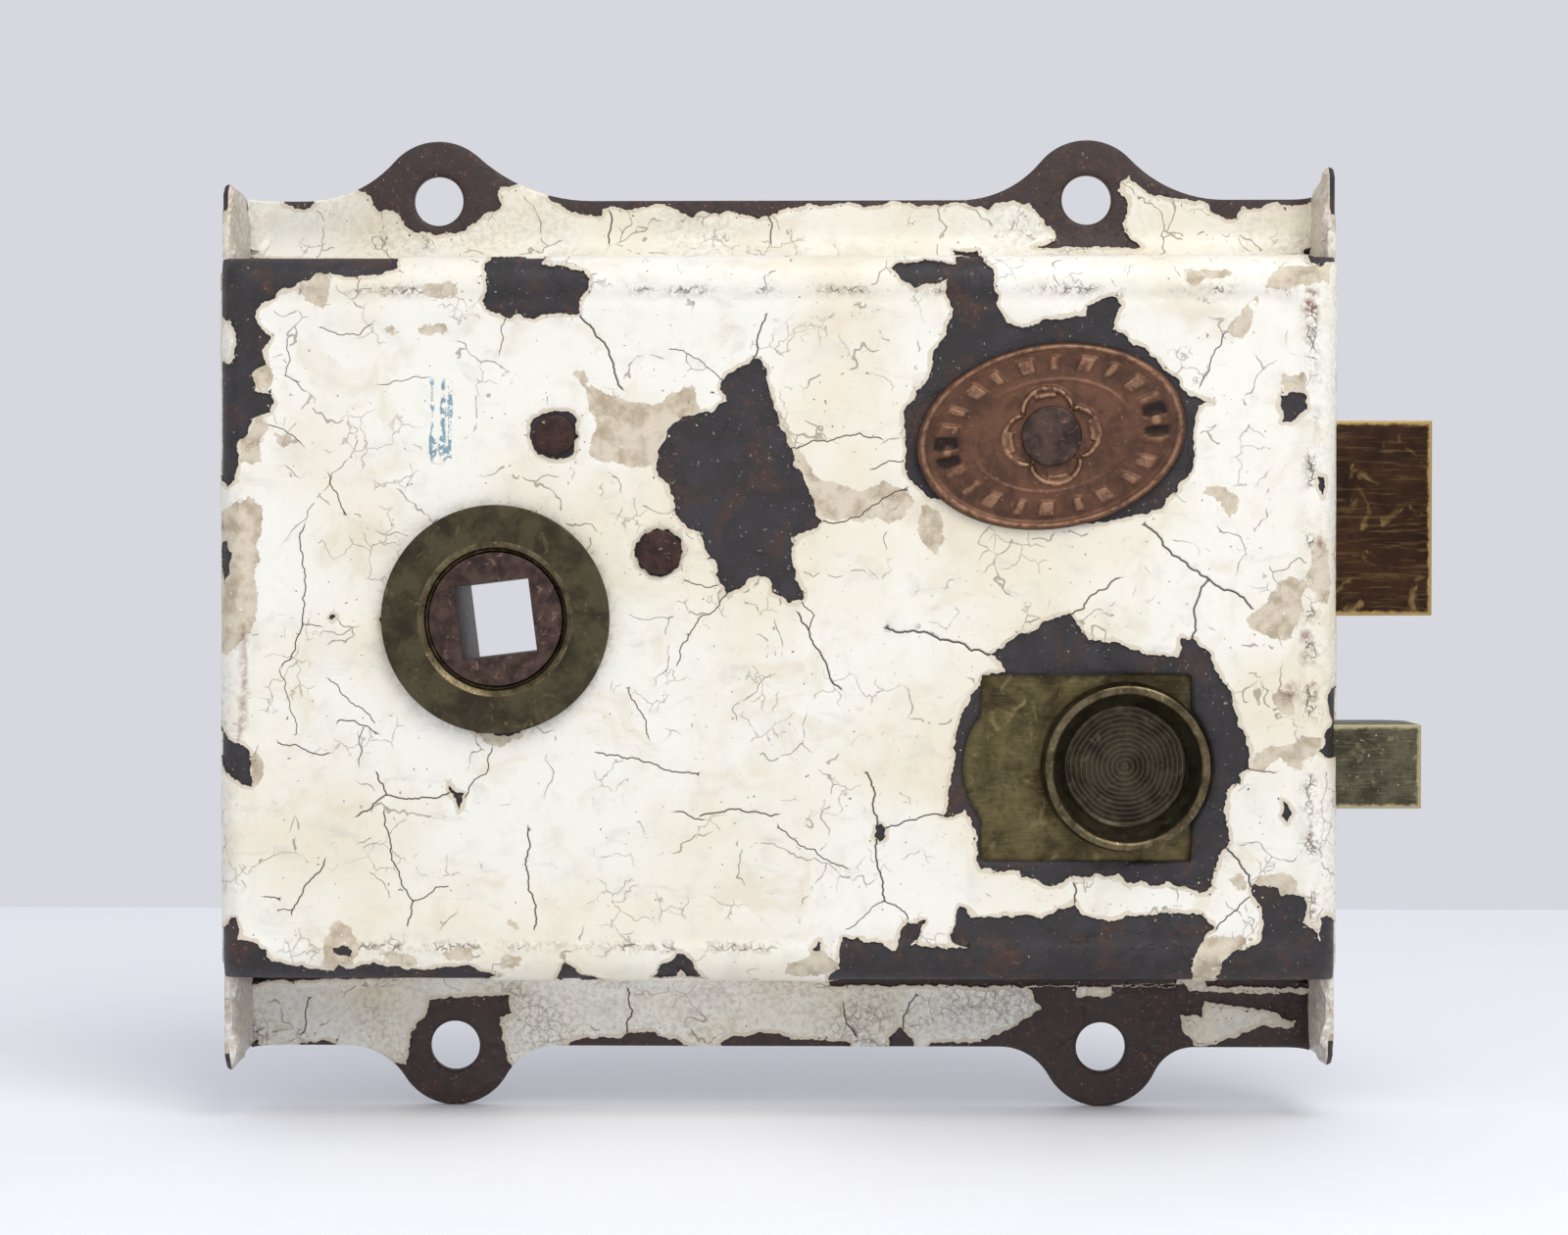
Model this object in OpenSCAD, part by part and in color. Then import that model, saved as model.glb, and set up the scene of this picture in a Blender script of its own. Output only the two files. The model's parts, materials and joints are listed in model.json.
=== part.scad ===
// Rim night latch in a pressed steel case.
// The origin is on the spindle axis at the door face, +X runs towards the bolts, +Z is up
// and the front faces -Y. All sizes are in millimetres.

/* [Case] */
// Length over the two end plates
case_len = 127; // [126:0.25:135]
// Distance from the spindle to the outer face of the forend
backset = 95.25; // [95:0.25:98]
// Height of the box part of the case
case_h = 82.55; // [82:0.25:86]
// Depth from the door face to the front
case_depth = 18; // [17.8:0.1:18.5]
// Thickness of the pressed sheet
sheet = 1.5; // [1.2:0.1:1.6]
// Thickness of the end plate and the forend
end_t = 1.6; // [1.2:0.1:2]
// Radius of the pressed outer corners
corner_r = 3; // [2:0.5:3.5]
// Depth of the dished middle of the front
dish = 0.5; // [0.4:0.1:0.6]
// Width of the raised border of the front
border_w = 4; // [3:0.5:6]
// Outer radius of the bend between box and flange
bend_r = 4.5; // [3:0.5:5]
// Width of the upper flange beyond the box
upper_flange_w = 7.7; // [7:0.1:10]
// Width of the lower flange beyond the box
lower_flange_w = 9.4; // [8:0.2:10]

/* [Fixing ears] */
// Distance between the two screw holes of a row
hole_spacing = 76.2; // [70:0.1:80]
// X of the left hole of the upper row
upper_hole_x = -8.4; // [-10:0.1:-6]
// X of the left hole of the lower row
lower_hole_x = -6.6; // [-10:0.1:-5]
// Radius of each screw hole
hole_r = 2.9; // [2.5:0.1:3.2]
// Radius of the rounded head of each ear
ear_r = 7; // [6.5:0.1:7.5]

/* [Follower] */
// Side of the square spindle hole
square_w = 8.46; // [8:0.02:8.6]
// Turn of the square hole at rest
square_turn = 7; // [0:1:10]
// Radius of the follower hub
hub_r = 7.55; // [7.4:0.05:7.7]
// Radius of the involute's base circle
horn_base_r = 12; // [11:0.25:12]
// Turn of the follower that draws the latch fully back
follower_travel = 50; // [30:1:50]
// Outer radius of the brass collar
collar_r = 12.9; // [12:0.1:13.5]

/* [Latch bolt] */
// Height of the latch bolt
latch_h = 22; // [20:0.5:22]
// Z of the middle of the latch bolt
latch_z = 11.4; // [11:0.1:12]
// Depth of the latch bolt
latch_d = 12.7; // [12:0.1:12.8]
// Reach of the latch bolt beyond the forend
latch_reach = 10.5; // [9:0.1:11]

/* [Night bolt] */
// Height of the night bolt
night_h = 9.5; // [8:0.25:10]
// Z of the middle of the night bolt
night_z = -16.7; // [-17:0.1:-16.5]
// Reach of the night bolt beyond the forend
night_reach = 9.4; // [9:0.1:10]
// Travel of the night bolt
night_travel = 8.7; // [7:0.1:8.7]
// Outer radius of the finger cup's rim
cup_r = 9.3; // [8.8:0.05:9.3]
// Distance that the finger cup's rim stands out of the front
cup_proud = 1.7; // [1:0.1:2.5]

/* [Badge] */
// Half the length of the oval badge
badge_a = 15.3; // [12:0.1:16]
// Half the height of the oval badge
badge_b = 10.4; // [9:0.1:11]
// Thickness of the badge
badge_t = 0.6; // [0.4:0.1:1]
// Tilt of the badge
badge_turn = 9; // [0:1:12]
// Radius of the badge rivet
badge_rivet_r = 3.4; // [3:0.1:3.6]

/* [Hidden] */
$fn = 64;

// Colours
paint = [0.93, 0.91, 0.85];
brass = [0.45, 0.38, 0.22];
copper = [0.48, 0.28, 0.17];
iron = [0.30, 0.24, 0.21];
steel = [0.52, 0.52, 0.54];

// Clearances: running fit, sliding fit, touching springs, and the overrun of a cut
bore_gap = 0.05;
slide_gap = 0.25;
touch_gap = 0.05;
over = 1;

// Straight steps that stand for a quarter round
corner_steps = 12;

// Main planes of the case
x1 = backset;
x0 = backset - case_len;
xi1 = x1 - end_t;
xi0 = x0 + end_t;
z1 = case_h / 2;
zi1 = z1 - sheet;
front_y = -case_depth;
field_y = front_y + dish;
inner_y = field_y + sheet;
bend_y = -(sheet + bend_r);
cap_y = -sheet;
upper_edge_z = z1 + upper_flange_w;
lower_edge_z = -z1 - lower_flange_w;

// End plates: their front edge, and how far their front corners reach past the flanges
plate_front_y = front_y + 4.5;
left_tips = [lower_edge_z - 1.2, upper_edge_z + 0.7];
right_tips = [lower_edge_z - 0.3, upper_edge_z + 2.4];

// Half widths of the flared bases of the ears, left and right of each hole
upper_left_base = [15.6, 18.1];
upper_right_base = [14.9, 16.2];
lower_left_base = [12.7, 12];
lower_right_base = [11.9, 11];

// Rivets and pillars, [x, z]
badge_at = [62.7, 20.6];
upper_stump_at = [6.7, 20.8];
lower_stump_at = [18.5, 7.56];
night_stump_at = [56, night_z];
detent_stump_at = [86, -31];
rivet_rise = 0.3;
upper_stump_r = 2.25;
upper_shoulder_r = 3.2;
lower_stump_r = 2.5;
cap_pin_r = 2;
pillar_r = 4;
stump_tail_y = -0.1;

// Cap screws
screw_r = 1.5;
screw_len = 7;
screw_head_r = 2.9;
screw_head_h = 1.2;
screw_slot_w = 0.8;
screw_slot_h = 0.6;
cap_gap = 0.2;

// Collar and bush
collar_rise = 1;
collar_spigot_r = 9.4;
collar_tail = 0.6;
collar_mouth_r = 8;
bush_r = 10.5;
bush_front_y = -3;

// Follower and its involute horns
hub_front_y = field_y - 0.5;
hub_back_y = -0.2;
horn_front_y = -12;
horn_back_y = -7.4;
horn_body_r = 8;
horn_root_r = 5;
horn_start = 0.1;
horn_end = horn_start + follower_travel * PI / 180;
horn_steps = 16;
horn_tip_w = 1.8;
hub_flat_z = 6.9;
hub_flat_y = [-15.3, -12.3];

// Follower spring: a hairpin round the upper stump
hairpin_y = [-15.1, -12.5];
hairpin_t = 0.8;
hairpin_x = [-6, 9];

// Latch tail: a yoke of two rails with a lug each, in a plane behind the horns
latch_travel = horn_base_r * follower_travel * PI / 180;
yoke_x = -horn_base_r * horn_start - touch_gap;
tail_y = [-7, -4.2];
rail_z = [10.2, 17];
lug_w = 5;
lug_z = 9;
lug_front_y = horn_front_y - 0.2;
web_x = [32, 36.5];
arm_z = [3, 15];
arm_end_x = 74;

// Latch bolt
latch_y = -9.4;
latch_front_y = latch_y - latch_d / 2;
latch_back_y = latch_y + latch_d / 2;
latch_low_z = latch_z - latch_h / 2;
latch_high_z = latch_z + latch_h / 2;
latch_tip_x = x1 + latch_reach;
latch_nose = 1.6;
latch_head_x = badge_at[0] + pillar_r + latch_travel + 0.4;
neck_x = 60;
neck_top_z = 15.6;
latch_rivet_x = [64, 71];
latch_rivet_z = 9;
latch_rivet_r = 1.6;

// Latch spring and its seat on the lower stump
spring_y = -11.6;
spring_z = lower_stump_at[1];
spring_r = 3;
wire_r = 0.45;
spring_turns = 11;
spring_steps = 14;
wire_sides = 6;
seat_x = lower_stump_at[0] + lower_stump_r + touch_gap;
seat_t = 1.2;
seat_r = 3.4;
seat_stub_r = 2.3;
seat_stub = 2.5;

// Night bolt, slide plate and finger cup
slide_t = 1.5;
slide_y = inner_y + 0.15;
slide_back_y = slide_y + slide_t;
slide_x = [51.6, x1 - 2.4];
slide_z = [-29.2, -4.6];
night_back_x = 46;
night_head_x = slide_x[1] + 0.1;
night_front_y = slide_y + 0.25;
night_back_y = -3.4;
night_low_z = night_z - night_h / 2;
night_tip_x = x1 + night_reach;
night_bevel = 2.3;
notch_x = 66;
notch_depth = 1.2;
cup_x = 71.2;
cup_floor_y = -15.5;
cup_floor_r = 6.4;
cup_mouth_r = 8.2;
cup_spigot_r = 8;
window_x = [54.9, 78.6];
window_z = [-27.4, -6.3];
window_r = cup_r + 0.4;
slide_rivet_x = [82.5, 89];
slide_rivet_r = 1.5;
slide_rivet_y = -8;

// Detent spring: a leaf from the detent stump to a notch of the night bolt
leaf_y = [-12, -6];
leaf_t = 0.7;
leaf_nose = [notch_x, night_low_z - leaf_t / 2];
leaf_tail = [notch_x - 4, night_low_z - 2.2];
leaf_knee = [notch_x + 4, night_low_z - 2.2];

function polar(r, a) = [r * cos(a), r * sin(a)];
function arc(c, r, a0, a1, n) = [for (i = [0:n]) c + polar(r, a0 + (a1 - a0) * i / n)];

// Outline of the box from back to front and back again, as [across, depth]: half width w,
// rounded by r at the front plane y, and open at the plane back
function box_outline(w, y, r, back) = concat(
    [[-w, back]],
    arc([-w + r, y + r], r, 180, 270, corner_steps),
    arc([w - r, y + r], r, 270, 360, corner_steps),
    [[w, back]]
);

// One face of the pressed sheet with its two flanges: as the box, and a bend of radius r_bend
// at each side that ends on the plane back
function sheet_outline(w, y, r, r_bend, back) = concat(
    [[lower_edge_z, back]],
    arc([-z1 - bend_r, bend_y], r_bend, 90, 0, corner_steps),
    arc([-w + r, y + r], r, 180, 270, corner_steps),
    arc([w - r, y + r], r, 270, 360, corner_steps),
    arc([z1 + bend_r, bend_y], r_bend, 180, 90, corner_steps),
    [[upper_edge_z, back]]
);

function swap(points) = [for (p = points) [p[1], p[0]]];
function reversed(points) = [for (i = [len(points) - 1:-1:0]) points[i]];

// Point of the horn's involute, for a string u times the base radius long
function horn_point(u) =
    let (a = 90 - (u - horn_start) * 180 / PI)
    horn_base_r * [cos(a) - u * sin(a), sin(a) + u * cos(a)];

// Radius of the hollow flare between an ear's head, radius r, and the flange edge at w
function flare_r(w, r) = (w * w - r * r) / (2 * r);

// Outline of an ear above a straight edge: a round head between two hollow flares
function ear_outline(base) =
    let (
        left_r = flare_r(base[0], ear_r),
        right_r = flare_r(base[1], ear_r),
        left_a = atan2(left_r, base[0]),
        right_a = atan2(right_r, base[1])
    )
    concat(
        [[-base[0], -over], [base[1], -over]],
        arc([base[1], right_r], right_r, 270, 181 + right_a, corner_steps),
        arc([0, 0], ear_r, right_a, 180 - left_a, 2 * corner_steps),
        arc([-base[0], left_r], left_r, 359 - left_a, 270, corner_steps)
    );

// Block from one corner to the other
module block(a, b) {
    translate(a)
        cube(b - a);
}

// A flat shape drawn in X and Z, given depth from ys[0] to ys[1]
module slab(ys) {
    translate([0, ys[1], 0])
        rotate([90, 0, 0])
            linear_extrude(ys[1] - ys[0])
                children();
}

// Round bar along Y at [x, z]
module pin(at, r, ys) {
    translate([at[0], ys[1], at[1]])
        rotate([90, 0, 0])
            cylinder(r = r, h = ys[1] - ys[0]);
}

// Cone along Y at [x, z], radius front_r at ys[0] and back_r at ys[1]
module cone(at, front_r, back_r, ys) {
    translate([at[0], ys[1], at[1]])
        rotate([90, 0, 0])
            cylinder(r1 = back_r, r2 = front_r, h = ys[1] - ys[0]);
}

// Outline with round ends between two X values
module slot_shape(xs, z, r) {
    for (x = xs)
        translate([x, z])
            circle(r);
    translate([xs[0], z - r])
        square([xs[1] - xs[0], 2 * r]);
}

// Straight strip of thickness t from a to b, drawn in X and Z
module strip(a, b, t) {
    run = norm(b - a);
    translate(a)
        rotate(atan2(b[1] - a[1], b[0] - a[0]))
            translate([0, -t / 2])
                square([run, t]);
}

// A shape drawn in Y and Z, given length from xs[0] to xs[1]
module length_x(xs) {
    translate([xs[0], 0, 0])
        rotate([90, 0, 90])
            linear_extrude(xs[1] - xs[0])
                children();
}

// Two ears on the flange edge z, the second one hole spacing to the right of the first
module ears(hole_x, z, left_base, right_base) {
    for (e = [[hole_x, left_base], [hole_x + hole_spacing, right_base]])
        translate([e[0], 0, z])
            slab([-sheet, 0])
                polygon(ear_outline(e[1]));
}

// Two screw holes on the flange edge z
module ear_holes(hole_x, z) {
    for (x = [hole_x, hole_x + hole_spacing])
        pin([x, z], hole_r, [-sheet - over, over]);
}

// The bent sheet with a lip at each end, its end corners rounded at the front
module pressing() {
    outside = sheet_outline(z1, front_y, corner_r, bend_r, -sheet);
    inside = sheet_outline(zi1, inner_y, corner_r - sheet, bend_r + sheet, 0);
    difference() {
        intersection() {
            union() {
                length_x([x0, x1])
                    polygon(swap(concat(outside, reversed(inside))));
                for (xs = [[x0, xi0], [xi1, x1]])
                    length_x(xs)
                        polygon(swap(box_outline(z1, front_y, corner_r, plate_front_y)));
            }
            translate([(x0 + x1) / 2, 0, lower_edge_z - over])
                linear_extrude(upper_edge_z - lower_edge_z + 2 * over)
                    polygon(box_outline(case_len / 2, front_y, corner_r, over));
        }
        for (xs = [[x0 - over, xi0], [xi1, x1 + over]])
            block([xs[0], plate_front_y, lower_edge_z - over], [xs[1], over, upper_edge_z + over]);
    }
}

// Openings of both bolts through the end at the right
module bolt_openings() {
    block(
        [xi1 - over, latch_front_y - slide_gap, latch_low_z - slide_gap],
        [x1 + over, latch_back_y + slide_gap, latch_high_z + slide_gap]
    );
    block(
        [xi1 - over, night_front_y - slide_gap, night_low_z - slide_gap],
        [x1 + over, night_back_y + slide_gap, night_low_z + night_h + slide_gap]
    );
}

// Pressed front, walls and flanges in one sheet
module case() {
    color(paint)
        difference() {
            union() {
                pressing();
                ears(upper_hole_x, upper_edge_z, upper_left_base, upper_right_base);
                mirror([0, 0, 1])
                    ears(lower_hole_x, -lower_edge_z, lower_left_base, lower_right_base);
            }
            ear_holes(upper_hole_x, upper_edge_z);
            ear_holes(lower_hole_x, lower_edge_z);
            block(
                [x0 + border_w, front_y - over, -z1 + border_w],
                [x1 - border_w, field_y, z1 - border_w]
            );
            pin([0, 0], collar_spigot_r, [front_y - over, inner_y + over]);
            pin(badge_at, badge_rivet_r, [front_y - over, inner_y + over]);
            pin(upper_stump_at, upper_stump_r, [front_y - over, inner_y + over]);
            pin(lower_stump_at, lower_stump_r, [front_y - over, inner_y + over]);
            slab([front_y - over, inner_y + over])
                slide_window();
            bolt_openings();
        }
}

// Window for the finger cup: a rectangle whose ends bow out round the cup
module slide_window() {
    translate([window_x[0], window_z[0]])
        square([window_x[1] - window_x[0], window_z[1] - window_z[0]]);
    for (x = [cup_x - night_travel, cup_x])
        translate([x, night_z])
            circle(window_r);
}

// Plate across one end of the case, its corners standing out between the flanges
module wing_plate(xs, tips) {
    length_x(xs)
        polygon([
            [plate_front_y, tips[0] + over],
            [plate_front_y + over, tips[0]],
            [0, lower_edge_z],
            [0, upper_edge_z],
            [plate_front_y + over, tips[1]],
            [plate_front_y, tips[1] - over]
        ]);
}

module end_plate() {
    color(paint)
        wing_plate([x0, xi0], left_tips);
}

// Forend: the plate that the two bolts come out through
module forend() {
    color(paint)
        difference() {
            wing_plate([xi1, x1], right_tips);
            bolt_openings();
        }
}

// Flat cap that closes the back of the box, level with the flanges
module back_cap() {
    color(iron)
        difference() {
            block([xi0 + cap_gap, cap_y, -zi1 + cap_gap], [xi1 - cap_gap, 0, zi1 - cap_gap]);
            pin([0, 0], bush_r, [cap_y - over, over]);
            pin(lower_stump_at, lower_stump_r, [cap_y - over, over]);
            pin(night_stump_at, cap_pin_r, [cap_y - over, over]);
            pin(detent_stump_at, cap_pin_r, [cap_y - over, over]);
            for (at = [badge_at, upper_stump_at]) {
                pin(at, screw_r + bore_gap, [cap_y - over, over]);
                cone(at, screw_r + bore_gap, screw_head_r, [-screw_head_h, 0]);
                pin(at, screw_head_r, [0, over]);
            }
        }
}

// Two countersunk slotted screws in the ends of the pillar and the upper stump
module cap_screws() {
    color(steel)
        for (at = [badge_at, upper_stump_at])
            difference() {
                union() {
                    pin(at, screw_r, [-screw_len, -screw_head_h]);
                    cone(at, screw_r, screw_head_r - 0.15, [-screw_head_h, stump_tail_y]);
                }
                block(
                    [at[0] - screw_head_r, -screw_slot_h, at[1] - screw_slot_w / 2],
                    [at[0] + screw_head_r, over, at[1] + screw_slot_w / 2]
                );
            }
}

// Brass collar on the front: a wide mouth outside and the bearing bore inside
module front_collar() {
    color(brass)
        difference() {
            union() {
                pin([0, 0], collar_r, [field_y - collar_rise, field_y]);
                pin([0, 0], collar_spigot_r, [field_y, inner_y + collar_tail]);
            }
            pin([0, 0], hub_r + bore_gap, [front_y - 2 * over, 0]);
            pin([0, 0], collar_mouth_r, [front_y - 2 * over, field_y]);
            cone([0, 0], collar_mouth_r + 0.6, collar_mouth_r,
                [field_y - collar_rise, field_y - collar_rise + 0.6]);
        }
}

// Brass bush in the back cap
module rear_bush() {
    color(brass)
        difference() {
            pin([0, 0], bush_r, [bush_front_y, stump_tail_y]);
            pin([0, 0], hub_r + bore_gap, [bush_front_y - over, over]);
        }
}

// Oval of half axes a and b
module oval(a, b) {
    polygon([for (i = [0:71]) [a * cos(5 * i), b * sin(5 * i)]]);
}

// Oval badge with a raised rim
module badge() {
    rim_w = 1;
    rim_rise = 0.3;
    color(copper)
        difference() {
            translate([badge_at[0], 0, badge_at[1]])
                rotate([0, -badge_turn, 0])
                    difference() {
                        slab([field_y - badge_t - rim_rise, field_y])
                            oval(badge_a, badge_b);
                        slab([field_y - badge_t - rim_rise - over, field_y - badge_t])
                            oval(badge_a - rim_w, badge_b - rim_w);
                    }
            pin(badge_at, badge_rivet_r, [front_y - 2 * over, inner_y]);
        }
}

// Pillar behind the badge: its front end is the badge's rivet, its back end takes a screw
module badge_pillar() {
    color(copper)
        difference() {
            union() {
                pin(badge_at, badge_rivet_r, [field_y - badge_t - 2 * rivet_rise, inner_y]);
                pin(badge_at, pillar_r, [inner_y, cap_y]);
            }
            pin(badge_at, screw_r, [-screw_len - over, over]);
        }
}

// Upper stump, which takes the other cap screw and carries the follower spring
module upper_stump() {
    color(iron)
        difference() {
            union() {
                pin(upper_stump_at, upper_stump_r, [field_y - rivet_rise, inner_y]);
                pin(upper_stump_at, upper_shoulder_r, [inner_y, cap_y]);
            }
            pin(upper_stump_at, screw_r, [-screw_len - over, over]);
        }
}

// Lower stump, which the latch spring pushes against
module lower_stump() {
    color(iron)
        pin(lower_stump_at, lower_stump_r, [field_y - rivet_rise, stump_tail_y]);
}

// Pin of the back cap that guides the slot of the night bolt
module night_stump() {
    color(iron)
        pin(night_stump_at, cap_pin_r, [slide_back_y + 0.6, stump_tail_y]);
}

// Pin of the back cap that holds the detent spring
module detent_stump() {
    color(iron)
        pin(detent_stump_at, cap_pin_r, [leaf_y[0] - over, stump_tail_y]);
}

// One horn: its left flank is an involute, so the latch moves evenly with the turn
module horn() {
    tip = horn_point(horn_end);
    polygon(concat(
        [for (i = [0:horn_steps]) horn_point(horn_end * i / horn_steps)],
        [tip + [horn_tip_w, -0.3], [horn_root_r + 0.5, horn_root_r], [-horn_start, 0]]
    ));
}

// Follower: a hub with a square socket through it and two horns
module follower() {
    color(iron)
        difference() {
            union() {
                pin([0, 0], hub_r, [hub_front_y, hub_back_y]);
                pin([0, 0], horn_body_r, [horn_front_y, horn_back_y]);
                slab([horn_front_y, horn_back_y])
                    horn();
                slab([horn_front_y, horn_back_y])
                    mirror([0, 1])
                        horn();
            }
            slab([hub_front_y - over, hub_back_y + over])
                rotate(square_turn)
                    square(square_w, center = true);
            block([-hub_r, hub_flat_y[0], hub_flat_z], [hub_r, hub_flat_y[1], hub_r + over]);
        }
}

// Hairpin spring: an eye round the upper stump, and a leg on the hub's flat
module follower_spring() {
    eye_r = upper_shoulder_r + touch_gap;
    leg_high = upper_stump_at[1] - eye_r - hairpin_t / 2;
    leg_low = hub_flat_z + touch_gap + hairpin_t / 2;
    turn_r = (leg_high - leg_low) / 2;
    color(steel)
        slab(hairpin_y) {
            difference() {
                translate(upper_stump_at)
                    circle(eye_r + hairpin_t);
                translate(upper_stump_at)
                    circle(eye_r);
            }
            strip([hairpin_x[0], leg_high], [upper_stump_at[0], leg_high], hairpin_t);
            strip([hairpin_x[0], leg_low], [hairpin_x[1], leg_low], hairpin_t);
            difference() {
                translate([hairpin_x[0], leg_low + turn_r])
                    circle(turn_r + hairpin_t / 2);
                translate([hairpin_x[0], leg_low + turn_r])
                    circle(turn_r - hairpin_t / 2);
                translate([hairpin_x[0], leg_low - hairpin_t])
                    square([2 * turn_r, 2 * turn_r + 2 * hairpin_t]);
            }
        }
}

// Latch bolt: a flat front, and a bevel on the door side of the nose
module latch_bolt() {
    color(brass)
        difference() {
            union() {
                translate([0, 0, latch_low_z])
                    linear_extrude(latch_h)
                        polygon([
                            [latch_head_x, latch_front_y],
                            [latch_tip_x, latch_front_y],
                            [latch_tip_x, latch_front_y + latch_nose],
                            [x1 + slide_gap, latch_back_y],
                            [latch_head_x, latch_back_y]
                        ]);
                block([neck_x, latch_front_y, latch_low_z], [latch_head_x, tail_y[0], neck_top_z]);
            }
            for (x = latch_rivet_x)
                pin([x, latch_rivet_z], latch_rivet_r, [latch_front_y - over, 0]);
        }
}

// Steel tail of the latch bolt: a yoke round the follower, and an arm to the bolt
module latch_tail() {
    color(steel)
        difference() {
            union() {
                for (s = [0, 1])
                    mirror([0, 0, s]) {
                        block([yoke_x - lug_w, tail_y[0], rail_z[0]], [web_x[1], tail_y[1], rail_z[1]]);
                        block([yoke_x - lug_w, lug_front_y, lug_z], [yoke_x, tail_y[1], rail_z[1]]);
                    }
                block([web_x[0], tail_y[0], -rail_z[1]], [web_x[1], tail_y[1], rail_z[1]]);
                block([web_x[0], tail_y[0], arm_z[0]], [arm_end_x, tail_y[1], arm_z[1]]);
            }
            for (x = latch_rivet_x)
                pin([x, latch_rivet_z], latch_rivet_r, [tail_y[0] - over, 0]);
        }
}

module latch_rivets() {
    color(steel)
        for (x = latch_rivet_x)
            pin([x, latch_rivet_z], latch_rivet_r, [latch_front_y, tail_y[1]]);
}

// Rings of a wire wound about X from xs[0] to xs[1]
function coil_rings(xs) = [
    for (i = [0:spring_turns * spring_steps])
        let (
            turn = 360 * i / spring_steps,
            x = xs[0] + (xs[1] - xs[0]) * i / (spring_turns * spring_steps)
        )
        for (k = [0:wire_sides - 1])
            let (r = spring_r + wire_r * cos(360 * k / wire_sides))
            [x + wire_r * sin(360 * k / wire_sides), r * cos(turn), r * sin(turn)]
];

// Coil spring between the seat and the latch bolt's neck
module latch_spring() {
    xs = [seat_x + seat_t + wire_r + touch_gap, neck_x - wire_r - touch_gap];
    last = spring_turns * spring_steps;
    color(steel)
        translate([0, spring_y, spring_z])
            polyhedron(coil_rings(xs), concat(
                [[for (k = [0:wire_sides - 1]) k]],
                [[for (k = [wire_sides - 1:-1:0]) last * wire_sides + k]],
                [for (i = [0:last - 1], k = [0:wire_sides - 1])
                    let (a = i * wire_sides, n = (k + 1) % wire_sides)
                    [a + n, a + k, a + wire_sides + k, a + wire_sides + n]]
            ));
}

// Seat that keeps the coil spring on the lower stump
module spring_seat() {
    color(steel)
        translate([seat_x, spring_y, spring_z])
            rotate([0, 90, 0])
                union() {
                    cylinder(r = seat_r, h = seat_t);
                    cylinder(r = seat_stub_r, h = seat_t + seat_stub);
                }
}

// Night bolt: its front is cut back under the slide plate, and its slot rides on a pin
module night_bolt() {
    color(brass)
        difference() {
            union() {
                block(
                    [night_back_x, slide_back_y, night_low_z],
                    [night_head_x, night_back_y, night_low_z + night_h]
                );
                block(
                    [night_head_x, night_front_y, night_low_z],
                    [night_tip_x, night_back_y, night_low_z + night_h]
                );
            }
            slab([front_y, 0])
                slot_shape([night_stump_at[0], night_stump_at[0] + night_travel], night_z,
                    cap_pin_r + slide_gap);
            translate([night_tip_x, night_back_y, night_z])
                rotate([0, 0, 45])
                    cube([night_bevel * sqrt(2), night_bevel * sqrt(2), night_h + over],
                        center = true);
            for (x = [notch_x, notch_x + night_travel])
                translate([x, latch_y, night_low_z])
                    rotate([0, 45, 0])
                        cube([notch_depth * sqrt(2), case_depth, notch_depth * sqrt(2)],
                            center = true);
            for (x = slide_rivet_x)
                pin([x, night_z], slide_rivet_r, [slide_back_y - over, slide_rivet_y]);
        }
}

// Brass plate that fills the window wherever the night bolt stands
module slide_plate() {
    color(brass)
        difference() {
            block([slide_x[0], slide_y, slide_z[0]], [slide_x[1], slide_back_y, slide_z[1]]);
            pin([cup_x, night_z], cup_spigot_r, [slide_y - over, slide_back_y + over]);
            for (x = slide_rivet_x)
                pin([x, night_z], slide_rivet_r, [slide_y - over, slide_back_y + over]);
        }
}

// Finger cup: a hollow dish whose wall flares where it meets the slide plate
module finger_cup() {
    rim_y = front_y - cup_proud;
    at = [cup_x, night_z];
    color(brass)
        difference() {
            union() {
                pin(at, cup_r, [rim_y, slide_y]);
                pin(at, cup_spigot_r, [slide_y, slide_back_y]);
            }
            cone(at, cup_mouth_r, cup_floor_r, [rim_y, cup_floor_y]);
            pin(at, cup_mouth_r, [rim_y - over, rim_y]);
        }
}

module slide_rivets() {
    color(brass)
        for (x = slide_rivet_x)
            pin([x, night_z], slide_rivet_r, [slide_y, slide_rivet_y]);
}

// Leaf spring from the detent stump to the first notch
module detent_spring() {
    eye_r = cap_pin_r + touch_gap;
    start = detent_stump_at + [-eye_r - leaf_t / 2, 0];
    color(steel)
        slab(leaf_y) {
            difference() {
                translate(detent_stump_at)
                    circle(eye_r + leaf_t);
                translate(detent_stump_at)
                    circle(eye_r);
            }
            strip(start, leaf_knee, leaf_t);
            strip(leaf_knee, leaf_nose, leaf_t);
            strip(leaf_nose, leaf_tail, leaf_t);
        }
}

case();
end_plate();
forend();
back_cap();
cap_screws();
front_collar();
rear_bush();
badge();
badge_pillar();
upper_stump();
lower_stump();
night_stump();
detent_stump();
follower();
follower_spring();
latch_bolt();
latch_tail();
latch_rivets();
latch_spring();
spring_seat();
night_bolt();
slide_plate();
finger_cup();
slide_rivets();
detent_spring();
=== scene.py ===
"""Looks of the rim night latch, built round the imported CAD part.

Shapes are worked out in millimetres in the CAD frame (X to the bolts, Y to the door, Z up)
and turned into metres when a mesh is made.
"""

import json
import math
import random

import bmesh
import bpy
import numpy as np
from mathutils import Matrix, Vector, noise
from mathutils.geometry import delaunay_2d_cdt

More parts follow.
